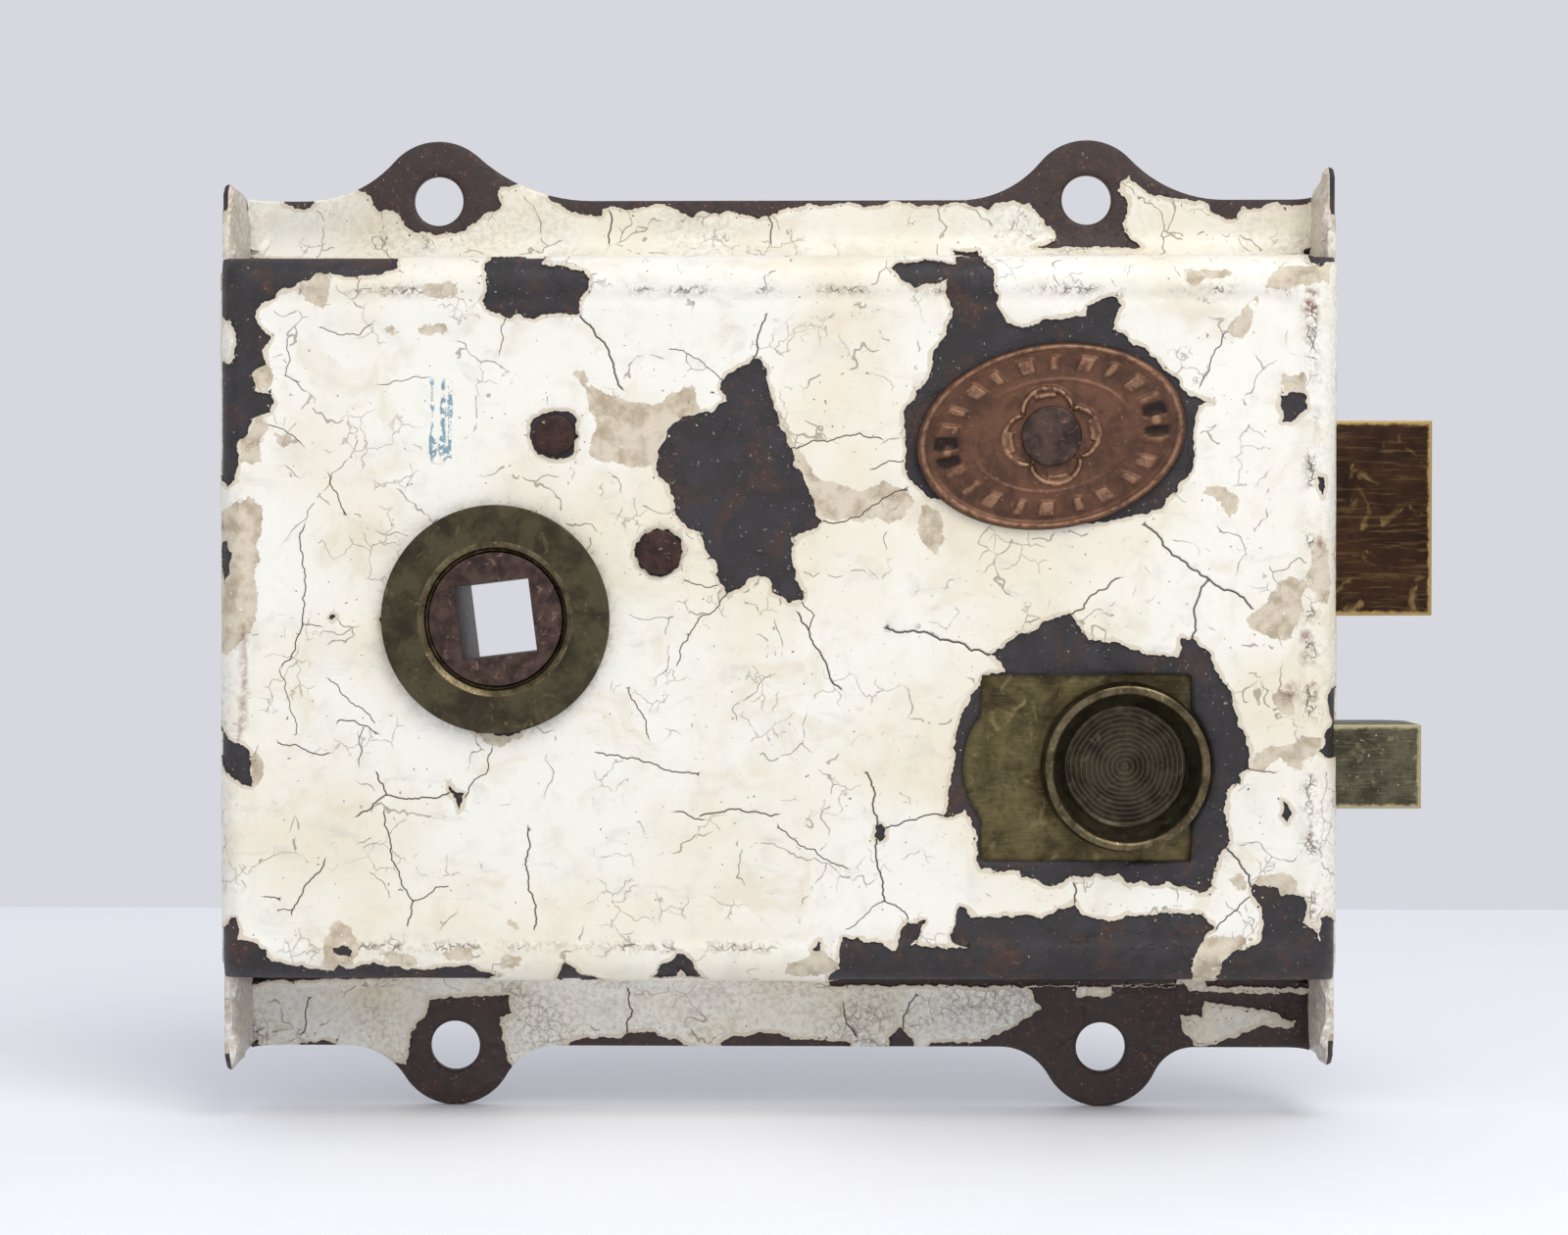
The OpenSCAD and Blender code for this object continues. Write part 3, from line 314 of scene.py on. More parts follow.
# Cracks in the paint, as (width, points)
CRACKS = [
    (0.4, [(9.6, 34.2), (12.3, 31.2), (13.3, 28.5), (14.3, 26)]),
    (0.3, [(30.6, 34.4), (29.6, 31.7), (29.1, 29.5)]),
    (0.15, [(19.7, 30.5), (22.4, 29.5), (25.9, 27)]),
    (0.15, [(1.1, 34.4), (0.9, 31.7), (0.4, 30.2)]),
    (0.12, [(-12.8, 26.5), (-11.3, 27), (-7.9, 27.3)]),
    (0.15, [(-23.6, 31.7), (-23.3, 29.3), (-23.9, 27.5), (-21.7, 25.8)]),
    (0.15, [(-19.9, 33), (-17.2, 32.1), (-15.3, 32.2), (-14.3, 33.2)]),
    (0.15, [(-25.7, 22), (-23.8, 21.3), (-22.2, 20)]),
    (0.2, [(-18.9, 16.3), (-18.5, 14.7), (-17.7, 13.2), (-17.2, 12.1)]),
    (0.22, [(-21.8, 10.4), (-21.9, 7.1), (-21.7, 4.1), (-22, 2.3), (-21.7, 1.6), (-22, -0.5),
        (-22.8, -3.5), (-24.3, -5.3)]),
    (0.15, [(-22, -0.5), (-20, -0.8)]),
    (0.15, [(-24.6, -5.8), (-23.7, -8.8), (-22.8, -11.6), (-22.7, -12.9)]),
    (0.18, [(-19, -6.8), (-16.8, -9.1), (-13.8, -11.7)]),
    (0.22, [(-18, -11.6), (-16.1, -11.5), (-14.8, -12.1), (-13.8, -12.8)]),
    (0.22, [(-24.8, -14), (-22.9, -14.2), (-21.7, -14.8), (-19.1, -15.2)]),
    (0.15, [(-15.1, -12.4), (-15.6, -13.9), (-15.2, -14.9), (-15.6, -16.4)]),
    (0.3, [(-13.6, -17.4), (-12.9, -18.7), (-12.5, -19.9), (-14.2, -21.5), (-15.7, -22.3)]),
    (0.3, [(-12.5, -19.9), (-10.9, -20.3), (-8.2, -20.2), (-5.4, -19.7)]),
    (0.2, [(-3.5, -20.1), (-2.5, -18.2), (-1.2, -17.6), (-0.9, -16.4), (-0.5, -14.7)]),
    (0.25, [(-12.8, -22), (-12.2, -24.6), (-11.4, -28.1), (-10.6, -30.4), (-9.5, -32),
        (-10.1, -34.7)]),
    (0.2, [(-9.5, -32), (-8.2, -31.6), (-6.9, -30.4), (-5.6, -30.3)]),
    (0.3, [(3.6, -24), (3.8, -25.5), (3.3, -27.2), (3.6, -29.6), (4.1, -31.6), (4.3, -35)]),
    (0.25, [(-19.5, -27.4), (-20.8, -29.3), (-22.4, -31.6), (-23.3, -33.4)]),
    (0.15, [(-24.7, -33), (-23.3, -33)]),
    (0.2, [(-26.3, -31.5), (-24.9, -31.7)]),
    (0.25, [(11.4, -15.1), (16.1, -15.8), (20.5, -17.3), (22.7, -17.5)]),
    (0.2, [(15, -8), (15.9, -9.7), (17, -11.6), (17.2, -13.3)]),
    (0.25, [(20.5, -21.8), (22.4, -22.6), (23.3, -22.7)]),
    (0.28, [(23.1, -22.3), (25.3, -21.9), (27.6, -21.5), (29.8, -21.9), (31.8, -22.1)]),
    (0.22, [(32, -23.6), (33.3, -24.7), (34.5, -25.7), (36, -26), (37.5, -27.2),
        (39.7, -28.2)]),
    (0.35, [(42, -17.5), (42.6, -20.8), (43.1, -22.3), (43.4, -24.2), (42.9, -25.8),
        (43.2, -28.2), (43.7, -30.3), (44, -31.9)]),
    (0.28, [(44.1, -23.6), (45.5, -23.3), (47.5, -22.7), (50.5, -22.2)]),
    (0.15, [(44, -31.9), (42.6, -32.5), (41.6, -33.7), (39.7, -35)]),
    (0.25, [(44, -31.9), (45.5, -32.6), (46.6, -33.8)]),
    (0.45, [(73.3, 10.6), (75.3, 8.3), (77.7, 6.5), (80.4, 4.6), (83, 3.2), (85.3, 1.2)]),
    (0.4, [(80.4, 4.6), (79.3, 2.4), (79, -0.3), (78.6, -2.1)]),
    (0.3, [(64.7, 0.4), (67.5, 2.8), (70.2, 4.6)]),
    (0.5, [(44.4, -1.1), (45.9, -1.5), (47.3, -1.3), (48.7, -1.5), (52, -2.6), (55.8, -4)]),
    (0.25, [(37, 11.1), (39.4, 11), (41.1, 11.5), (42.5, 12.8), (45.1, 14.4), (46.1, 14.6)]),
    (0.22, [(33.4, 19.3), (34.6, 19.5), (36, 20.2), (38.9, 20.5), (43.5, 20.4)]),
    (0.18, [(42.5, 16.9), (43.9, 17.6), (45.9, 17.8)]),
    (0.18, [(21.3, 4.4), (22.4, 4), (25, 3.8)]),
    (0.2, [(26.1, 2.8), (25.3, 1.6), (24.5, 0.8), (23.1, 0.2), (22.1, -1.3), (20.9, -3.2),
        (20.5, -5.1)]),
    (0.35, [(34.2, 0.7), (35.4, -1.3), (36.5, -3.5), (37.5, -5.6), (38.9, -7.8)]),
    (0.2, [(34.6, 1.9), (36, 0.4), (35.4, -1.2)]),
    (0.2, [(82.3, 32.3), (81.1, 30.3), (80.5, 28.2), (79.5, 26.4)]),
    (0.4, [(82.6, -25.9), (84, -27.6), (85.1, -28.9), (85.3, -30.2)]),
    (0.25, [(85, -31.4), (83.1, -33.2), (81.4, -34.9)]),
    (0.35, [(65.3, -29.8), (65.4, -32)]),
    (0.2, [(85.1, -16.9), (87.8, -17.3)]),
    (0.3, [(11.8, 47.6), (11.9, 45.8), (11.7, 44)]),
    (0.25, [(30.3, 47.6), (30.7, 44)]),
    (0.3, [(13.9, -43.8), (13.8, -49.1)]),
    (0.25, [(39.3, -45.7), (40.8, -49.4)]),
    (0.25, [(47.8, -44.7), (46.4, -48.5)]),
    (0.25, [(-23.9, -45.2), (-24.2, -47.8), (-24.8, -49.3)]),
]

# Rust specks, as (x, z, radius)
RUST_SPOTS = [
    (91.5, 35.2, 0.9), (91.9, 36.8, 0.5), (89.9, 38, 0.5), (93.1, 8.9, 0.6), (91.3, -2.2, 0.6),
    (91.2, -4.3, 0.5), (89.6, -8.3, 0.9), (91.9, -8, 0.5), (92.2, -10.1, 0.4),
    (91.9, -24.2, 0.5), (90.5, -22.4, 0.4), (-31.4, 10.7, 0.6),
]


# ---------------------------------------------------------------- flat geometry


def jagged(points, closed, step=0.25, rough=0.15, seed=1):
    """The points joined by a broken line whose steps are no longer than step."""
    dice = random.Random(seed)
    corners = [Vector(p) for p in points]
    ends = corners[1:] + corners[:1] if closed else corners[1:]
    line = []
    for a, b in zip(corners, ends):
        part = [a, b]
        while (part[1] - part[0]).length > step:
            finer = [part[0]]
            for p, q in zip(part, part[1:]):
                along = q - p
                aside = Vector((-along.y, along.x)) * dice.uniform(-rough, rough)
                finer += [(p + q) / 2 + aside, q]
            part = finer
        line += part[:-1]
    if not closed:
        line.append(corners[-1])
    return [(p.x, p.y) for p in line]


def near_line(points, line, closed, reach=FAR):
    """Distance of each point to a broken line, or reach where it is farther than that."""
    found = np.full(len(points), reach)
    a = np.array(line, float)
    b = np.roll(a, -1, 0) if closed else a[1:]
    a = a if closed else a[:-1]
    lo, hi = np.minimum(a, b).min(0) - reach, np.maximum(a, b).max(0) + reach
    rows = np.nonzero(((points >= lo) & (points <= hi)).all(1))[0]
    run = b - a
    length = np.maximum((run**2).sum(1), 1e-12)
    for start in range(0, len(rows), 2000):
        some = rows[start : start + 2000]
        off = points[some][:, None, :] - a[None]
        t = np.clip((off * run).sum(2) / length, 0, 1)
        gap = np.sqrt(((off - t[:, :, None] * run) ** 2).sum(2)).min(1)
        found[some] = np.minimum(gap, reach)
    return found


def within(points, line):
    """Whether each point is inside a closed line."""
    a = np.array(line, float)
    b = np.roll(a, -1, 0)
    answer = np.zeros(len(points), bool)
    lo, hi = a.min(0), a.max(0)
    rows = np.nonzero(((points >= lo) & (points <= hi)).all(1))[0]
    rise = np.where(np.abs(b[:, 1] - a[:, 1]) < 1e-12, 1e-12, b[:, 1] - a[:, 1])
    for start in range(0, len(rows), 2000):
        some = rows[start : start + 2000]
        x, y = points[some, 0][:, None], points[some, 1][:, None]
        crosses = (a[:, 1] > y) != (b[:, 1] > y)
        at = a[:, 0] + (y - a[:, 1]) * (b[:, 0] - a[:, 0]) / rise
        answer[some] = (crosses & (x < at)).sum(1) % 2 == 1
    return answer


def signed(points, lines, islands=()):
    """Distance to the nearest outline, below zero inside one and outside every island."""
    gap = np.full(len(points), FAR)
    held = np.zeros(len(points), bool)
    for line in lines:
        gap = np.minimum(gap, near_line(points, line, True))
        held |= within(points, line)
    for line in islands:
        gap = np.minimum(gap, near_line(points, line, True))
        held &= ~within(points, line)
    return np.where(held, -gap, gap)


def on_sheet(points, outline, holes):
    """Whether each point is inside the outline and outside every hole."""
    answer = within(points, outline)
    for line in holes:
        answer &= ~within(points, line)
    return answer


def nearest_edge(points, outline, holes):
    """Distance of each point to the outline or the nearest hole."""
    gap = near_line(points, outline, True)
    for line in holes:
        gap = np.minimum(gap, near_line(points, line, True))
    return gap


def beside(run, by):
    """Steps of length by to the left of each direction."""
    run = run / np.maximum(np.linalg.norm(run, axis=1), 1e-9)[:, None]
    return np.stack([-run[:, 1], run[:, 0]], 1) * by


def in_steps(line, step):
    """A closed line in steps of at most step."""
    found = []
    for a, b in zip(line, line[1:] + line[:1]):
        count = max(1, math.ceil(math.dist(a, b) / step))
        found += [
            (a[0] + (b[0] - a[0]) * i / count, a[1] + (b[1] - a[1]) * i / count)
            for i in range(count)
        ]
    return found


def inset(line, by):
    """Points beside each corner of a closed line, by to its inner side."""
    a = np.array(line, float)
    area = (a[:, 0] * np.roll(a[:, 1], -1) - np.roll(a[:, 0], -1) * a[:, 1]).sum()
    return a + beside(np.roll(a, -1, 0) - np.roll(a, 1, 0), by if area > 0 else -by)


def ring(at, r, count=72):
    """Points round a circle."""
    steps = [2 * math.pi * i / count for i in range(count)]
    return [(at[0] + r * math.cos(t), at[1] + r * math.sin(t)) for t in steps]


def arc(at, r, a0, a1, count=12):
    """Points along an arc, angles in degrees."""
    turns = [math.radians(a0 + (a1 - a0) * i / count) for i in range(count + 1)]
    return [(at[0] + r * math.cos(t), at[1] + r * math.sin(t)) for t in turns]


def smooth(t):
    """Soft step from 0 to 1."""
    t = np.clip(t, 0, 1)
    return t * t * (3 - 2 * t)


def waves(points, size, seed=0.0):
    """Smooth noise from -1 to 1 at each [x, z] point, with waves about size mm long."""
    return np.array([noise.noise((p[0] / size, p[1] / size, seed)) for p in points])


# ---------------------------------------------------------------- the unrolled skin of the case


def unroll(point):
    """[u, s] on the unrolled skin for [x, z] as seen from the front."""
    x, z = point
    off = x - MID_X
    half = CASE_LEN / 2 - ROLL
    if abs(off) > half:
        past = abs(off) - half
        turn = ROLL * math.asin(min(past / ROLL, 1)) + max(past - ROLL, 0)
        x = MID_X + math.copysign(half + turn, off)
    far = abs(z)
    if far <= FLAT_END:
        s = far
    elif far <= BOX_Z:
        s = FLAT_END + ROLL * math.asin((far - FLAT_END) / ROLL)
    elif far <= BOX_Z + BEND:
        s = WALL_END + BEND * math.acos(1 - (far - BOX_Z) / BEND)
    else:
        s = far + FLANGE_SHIFT
    return x, math.copysign(s, z)


def unrolled(points):
    """A broken line with short steps, so that it follows the bends, unrolled."""
    line = []
    for a, b in zip(points, points[1:] + points[:1]):
        count = max(1, int(math.dist(a, b) / 1.5))
        line += [
            unroll((a[0] + (b[0] - a[0]) * i / count, a[1] + (b[1] - a[1]) * i / count))
            for i in range(count)
        ]
    return line


def border_relief(x, z):
    """How far the front lies behind its highest plane: a soft ridge round a dished field."""
    edges = np.stack([(x - X0) * 4 / 2.9, X1 - x, BOX_Z - z, BOX_Z + z])
    e = -1.2 * np.log(np.exp(-edges / 1.2).sum(0))
    t = np.clip((e - 4) / 9, 0, 1)
    crease = 0.22 * np.exp(-(((e - 5.1) / 0.7) ** 2))
    inner = (DISH + 0.25) * (1 - (1 - t) ** 2) + crease
    outer = 0.45 * (np.clip(4 - e, 0, 4) / 4) ** 1.8 + crease
    return np.where(e < 4, outer, inner)


def case_place(uv, depth):
    """Points in mm of the case's skin, depth below its outside."""
    u, s = uv[:, 0], uv[:, 1]
    off = u - MID_X
    half = CASE_LEN / 2 - ROLL
    roll = np.clip((np.abs(off) - half) / ROLL, 0, math.pi / 2)
    far = np.minimum(np.abs(off), half) + (ROLL - depth) * np.sin(roll)
    x = MID_X + np.sign(off) * far

    t = np.abs(s)
    a = np.clip((t - FLAT_END) / ROLL, 0, math.pi / 2)
    b = np.clip((t - WALL_END) / BEND, 0, math.pi / 2)
    z = np.minimum(t, FLAT_END) + ROLL * np.sin(a) + BEND * (1 - np.cos(b))
    z += np.clip(t - BEND_END, 0, None)
    y = FRONT_Y + ROLL * (1 - np.cos(a)) + np.clip(t - ARC_END, 0, WALL_END - ARC_END)
    y += BEND * np.sin(b)
    fade = 1 - smooth((t - FLAT_END) / (ARC_END + 4.2 - FLAT_END))
    front = t < WALL_END
    normal_z = np.where(front, -np.sin(a), -np.cos(b))
    normal_y = np.where(front, np.cos(a), np.sin(b))
    lean = np.where(front, 1 - (1 - np.cos(roll)) * fade, 1)
    relief = border_relief(x, np.sign(s) * np.minimum(z, BOX_Z)) * fade
    y += ROLL * (1 - np.cos(roll)) * fade + relief + normal_y * depth * lean
    z += normal_z * depth
    corner = 2.2
    near = np.clip(corner - np.minimum(x - LEFT_IN, RIGHT_IN - x), 0, corner)
    y -= np.where(t > BEND_END - 3, corner - np.sqrt(corner**2 - near**2), 0)
    return np.stack([x, y, np.sign(s) * z], 1)


def flange_edge(z, holes, bases):
    """[x, |z|] along a flange's edge from left to right, with an ear round each hole."""
    line = []
    for x, base in zip(holes, bases):
        radii = [(w * w - EAR_R * EAR_R) / (2 * EAR_R) for w in base]
        lean = [math.degrees(math.atan2(r, w)) for r, w in zip(radii, base)]
        line += arc((x - base[0], z + radii[0]), radii[0], 270, 360 - lean[0])
        line += arc((x, z), EAR_R, 180 - lean[0], lean[1], 24)
        line += arc((x + base[1], z + radii[1]), radii[1], 180 + lean[1], 270)
    return line


def case_outline():
    """The edge of the unrolled skin, counter-clockwise from the lower left of the front."""
    left, right = MID_X - ROLL_END, MID_X + ROLL_END
    inner_left, inner_right = X0 + 0.8, X1 - 0.8
    step = ARC_END + 0.6
    top = [(x, z + FLANGE_SHIFT) for x, z in flange_edge(UPPER_EDGE, UPPER_HOLES, UPPER_BASES)]
    low = [(x, -z - FLANGE_SHIFT) for x, z in flange_edge(-LOWER_EDGE, LOWER_HOLES, LOWER_BASES)]
    high_s, low_s = UPPER_EDGE + FLANGE_SHIFT, LOWER_EDGE - FLANGE_SHIFT
    line = [(left, -step), (inner_left, -step), (inner_left, low_s)] + low
    line += [(inner_right, low_s), (inner_right, -step), (right, -step)]
    line += [(right, step), (inner_right, step), (inner_right, high_s)] + top[::-1]
    line += [(inner_left, high_s), (inner_left, step), (left, step)]
    return line


def window_outline():
    """The finger cup's window: a rectangle whose ends bow out round the cup."""
    sides = []
    for x, z in ring((0, 0), 1, 160):
        t = math.atan2(z, x)
        cx = CUP_REST_X[1] if x > 0 else CUP_REST_X[0]
        bow = (cx + WINDOW_R * math.cos(t), CUP[1] + WINDOW_R * math.sin(t))
        box_x = WINDOW_X[1] if x > 0 else WINDOW_X[0]
        reach = min(
            abs((box_x - cx) / max(abs(x), 1e-9)),
            abs(((WINDOW_Z[1] if z > 0 else WINDOW_Z[0]) - CUP[1]) / max(abs(z), 1e-9)),
        )
        square = (cx + reach * x, CUP[1] + reach * z)
        sides.append(max(bow, square, key=lambda p: math.dist(p, (cx, CUP[1]))))
    return sides


# ---------------------------------------------------------------- meshes


def add_object(name, points, faces, body, attributes=(), sharp=35):
    """A smooth mesh object from points in mm, riding on a CAD body."""
    mesh = bpy.data.meshes.new(name)
    mesh.from_pydata([tuple(p) for p in np.asarray(points) * MM], [], faces)
    for key, values in attributes:
        layer = mesh.attributes.new(key, "FLOAT", "POINT")
        layer.data.foreach_set("value", np.asarray(values, np.float32))
    mesh.update()
    work = bmesh.new()
    work.from_mesh(mesh)
    bmesh.ops.recalc_face_normals(work, faces=work.faces)
    work.to_mesh(mesh)
    work.free()
    mesh.polygons.foreach_set("use_smooth", [True] * len(mesh.polygons))
    mesh.set_sharp_from_angle(angle=math.radians(sharp))
    obj = bpy.data.objects.new(name, mesh)
    bpy.context.scene.collection.objects.link(obj)
    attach(obj, body)
    return obj


def fill(points, outline, holes, lines):
    """Triangles over the area inside the outline and outside the holes, with edges on the lines."""
    verts, edges = [], []
    for line in [outline, *holes]:
        first = len(verts)
        verts += line
        edges += [(first + i, first + (i + 1) % len(line)) for i in range(len(line))]
    for line in lines:
        first = len(verts)
        verts += line
        edges += [(first + i, first + i + 1) for i in range(len(line) - 1)]
    verts += points.tolist()
    made, _, faces, _, _, _ = delaunay_2d_cdt([Vector(v) for v in verts], edges, [], 0, 1e-5)
    flat = np.array([(v.x, v.y) for v in made])
    tris = np.array([f for f in faces if len(f) == 3])
    tris = tris[on_sheet(flat[tris].mean(1), outline, holes)]
    used = np.unique(tris)
    renumber = np.full(len(flat), -1)
    renumber[used] = np.arange(len(used))
    return flat[used], renumber[tris]


def rim_of(tris):
    """Edges that only one triangle has, in that triangle's direction."""
    sides = np.concatenate([tris[:, [0, 1]], tris[:, [1, 2]], tris[:, [2, 0]]])
    key = np.sort(sides, 1)
    _, first, count = np.unique(key, axis=0, return_index=True, return_counts=True)
    return sides[first[count == 1]]


def shell(name, node, outline, holes, points, lines, outer, inner, attributes):
    """A closed painted sheet: outer(uv) on one side, inner(uv) on the other, joined at every edge."""
    flat, tris = fill(points, outline, holes, lines)
    rim = rim_of(tris)
    count = len(flat)
    edge_ids = np.unique(rim)
    sparse = flat[~np.isin(np.arange(count), edge_ids)][::9]
    under = np.concatenate([flat[edge_ids], sparse])
    rim_number = np.full(count, -1)
    rim_number[edge_ids] = np.arange(len(edge_ids))
    rim_edges = [tuple(e) for e in rim_number[rim].tolist()]
    _, _, faces, origin, _, _ = delaunay_2d_cdt([Vector(v) for v in under], rim_edges, [], 0, 1e-7)
    number = [o[0] if o else -1 for o in origin]
    back = np.array([[number[i] for i in f] for f in faces if len(f) == 3])
    back = back[(back >= 0).all(1)]
    back = back[on_sheet(under[back].mean(1), outline, holes)] + count
    walls = np.stack([rim[:, 1], rim[:, 0], *(count + rim_number[rim]).T], 1)
    values = [
        (key, np.concatenate([function(flat), np.full(len(under), rest)]))
        for key, function, rest in attributes
    ]
    coords = np.concatenate([outer(flat), inner(under)])
    every_face = tris.tolist() + back[:, ::-1].tolist() + walls.tolist()
    sheet = add_object(name, coords, every_face, "body", values)
    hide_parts(node)
    dress(sheet, PAINT)


def grid(xs, ys, jitter, seed):
    """Points at each crossing of the given lines, each moved a little."""
    dice = np.random.default_rng(seed)
    px, py = np.meshgrid(xs, ys)
    points = np.stack([px.ravel(), py.ravel()], 1)
    return points + dice.uniform(-jitter, jitter, points.shape)


def ticks(stops):
    """Values from the first stop to the last, with a step of its own up to each stop."""
    found = []
    for (a, _), (b, step) in zip(stops, stops[1:]):
        found += list(np.linspace(a, b, max(2, int(round((b - a) / step))), endpoint=False))
    return found + [stops[-1][0]]


def lathe(name, node, profile, at, body, count=144):
    """A closed solid of revolution round Y at [x, z], from (radius, y) points, for a CAD node."""
    points, faces, starts = [], [], []
    on_axis = [r < 1e-6 for r, _ in profile]
    for (r, y), single in zip(profile, on_axis):
        starts.append(len(points))
        for i in range(1 if single else count):
            a = 2 * math.pi * i / count
            points.append((at[0] + r * math.cos(a), y, at[1] + r * math.sin(a)))
    has_bore = not on_axis[0]
    for k in range(len(profile) if has_bore else len(profile) - 1):
        n = (k + 1) % len(profile)
        one, two = starts[k], starts[n]
        for i in range(count):
            j = (i + 1) % count
            a, b = (one, one) if on_axis[k] else (one + i, one + j)
            c, d = (two, two) if on_axis[n] else (two + j, two + i)
            face = [a, b, c, d]
            face = [v for m, v in enumerate(face) if v not in face[:m]]
            if len(face) > 2:
                faces.append(face)
    piece = add_object(name, points, faces, body, sharp=40)
    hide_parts(node)
    return piece


def bevelled(node, width, slot):
    """A copy of a CAD node with worn edges width mm wide, which stands for it."""
    name = node + "_worn"
    source = frame["nodes"][node]
    mesh = source.data.copy()
    work = bmesh.new()
    work.from_mesh(mesh)
    bmesh.ops.remove_doubles(work, verts=work.verts, dist=2e-6)
    bmesh.ops.dissolve_limit(
        work, angle_limit=math.radians(1), verts=work.verts, edges=work.edges
    )
    work.to_mesh(mesh)
    work.free()
    mesh.name = name
    obj = bpy.data.objects.new(name, mesh)
    bpy.context.scene.collection.objects.link(obj)
    edge = obj.modifiers.new("worn_edges", "BEVEL")
    edge.width = width * MM
    edge.segments = 3
    edge.limit_method = "ANGLE"
    edge.angle_limit = math.radians(35)
    bpy.context.view_layer.update()
    graph = bpy.context.evaluated_depsgraph_get()
    made = bpy.data.meshes.new_from_object(obj.evaluated_get(graph))
    obj.modifiers.clear()
    obj.data = made
    made.name = name
    made.materials.clear()
    made.polygons.foreach_set("use_smooth", [True] * len(made.polygons))
    made.set_sharp_from_angle(angle=math.radians(40))
    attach(obj, source["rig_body"])
    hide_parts(node)
    return obj


# ---------------------------------------------------------------- materials


def tone(red, green, blue):
    """A screen colour, 0 to 255 each, as linear light."""
    return tuple(
        c / 12.92 if c <= 0.04045 else ((c + 0.055) / 1.055) ** 2.4
        for c in (red / 255, green / 255, blue / 255)
    ) + (1.0,)


class Finish:
    """A material built from a few procedural steps. Places are in mm of the CAD frame."""

    def __init__(self, name):
        self.material = bpy.data.materials.new(name)
        self.material.use_nodes = True
        self.nodes = self.material.node_tree.nodes
        self.links = self.material.node_tree.links
        self.nodes.clear()
        out = self.nodes.new("ShaderNodeOutputMaterial")
        self.skin = self.nodes.new("ShaderNodeBsdfPrincipled")
        self.links.new(self.skin.outputs[0], out.inputs[0])
        coord = self.nodes.new("ShaderNodeTexCoord")
        grow = self.nodes.new("ShaderNodeVectorMath")
        grow.operation = "SCALE"
        grow.inputs["Scale"].default_value = 1 / MM
        self.links.new(coord.outputs["Object"], grow.inputs[0])
        self.place = grow.outputs[0]
        self.last_bump = None

    def put(self, socket, value):
        """Gives a socket a number or another node's output."""
        if isinstance(value, bpy.types.NodeSocket):
            self.links.new(value, socket)
        else:
            socket.default_value = value

    def number(self, operation, a, b=0.0):
        """The result of a maths operation."""
        node = self.nodes.new("ShaderNodeMath")
        node.operation = operation
        self.put(node.inputs[0], a)
        self.put(node.inputs[1], b)
        return node.outputs[0]

    def times(self, a, b):
        return self.number("MULTIPLY", a, b)

    def plus(self, a, b):
        return self.number("ADD", a, b)

    def minus(self, a, b):
        return self.number("SUBTRACT", a, b)

    def higher(self, a, b):
        return self.number("MAXIMUM", a, b)

    def lower(self, a, b):
        return self.number("MINIMUM", a, b)

    def stretched(self, x, y, z):
        """The place with each axis scaled."""
        node = self.nodes.new("ShaderNodeVectorMath")
        node.operation = "MULTIPLY"
        self.put(node.inputs[0], self.place)
        node.inputs[1].default_value = (x, y, z)
        return node.outputs[0]

    def warped(self, size, push, x=1.0, y=1.0, z=1.0):
        """The place pushed about by up to push mm, for lines that wander."""
        drift = self.nodes.new("ShaderNodeTexNoise")
        self.put(drift.inputs["Vector"], self.place)
        drift.inputs["Scale"].default_value = 1 / size
        node = self.nodes.new("ShaderNodeVectorMath")
        node.operation = "MULTIPLY_ADD"
        self.put(node.inputs[0], drift.outputs["Color"])
        node.inputs[1].default_value = (push, push, push)
        self.put(node.inputs[2], self.stretched(x, y, z))
        return node.outputs[0]

    def cloud(self, size, detail=4.0, rough=0.55, at=None, bend=0.0):
        """Noise with waves about size mm long, near 0.5."""
        node = self.nodes.new("ShaderNodeTexNoise")
        self.put(node.inputs["Vector"], at or self.place)
        node.inputs["Scale"].default_value = 1 / size
        node.inputs["Detail"].default_value = detail
        node.inputs["Roughness"].default_value = rough
        node.inputs["Distortion"].default_value = bend
        return node.outputs["Fac"]

    def cells(self, size, at):
        """Distance to the edge of cells about size mm wide."""
        node = self.nodes.new("ShaderNodeTexVoronoi")
        node.feature = "DISTANCE_TO_EDGE"
        self.put(node.inputs["Vector"], at)
        node.inputs["Scale"].default_value = 1 / size
        return node.outputs["Distance"]

    def value(self, name):
        """A number stored on the mesh's points."""
        node = self.nodes.new("ShaderNodeAttribute")
        node.attribute_name = name
        return node.outputs["Fac"]

    def axis(self, letter):
        node = self.nodes.new("ShaderNodeSeparateXYZ")
        self.links.new(self.place, node.inputs[0])
        return node.outputs["XYZ".index(letter)]

    def step(self, value, low, high):
        """0 below low, 1 above high, soft between."""
        node = self.nodes.new("ShaderNodeMapRange")
        node.interpolation_type = "SMOOTHSTEP"
        self.put(node.inputs["Value"], value)
        node.inputs["From Min"].default_value = low
        node.inputs["From Max"].default_value = high
        return node.outputs["Result"]

    def blend(self, share, a, b):
        node = self.nodes.new("ShaderNodeMix")
        node.data_type = "RGBA"
        self.put(node.inputs[0], share)
        self.put(node.inputs[6], a)
        self.put(node.inputs[7], b)
        return node.outputs[2]

    def level(self, share, a, b):
        """A number from a to b."""
        node = self.nodes.new("ShaderNodeMix")
        node.data_type = "FLOAT"
        self.put(node.inputs[0], share)
        self.put(node.inputs[2], a)
        self.put(node.inputs[3], b)
        return node.outputs[0]

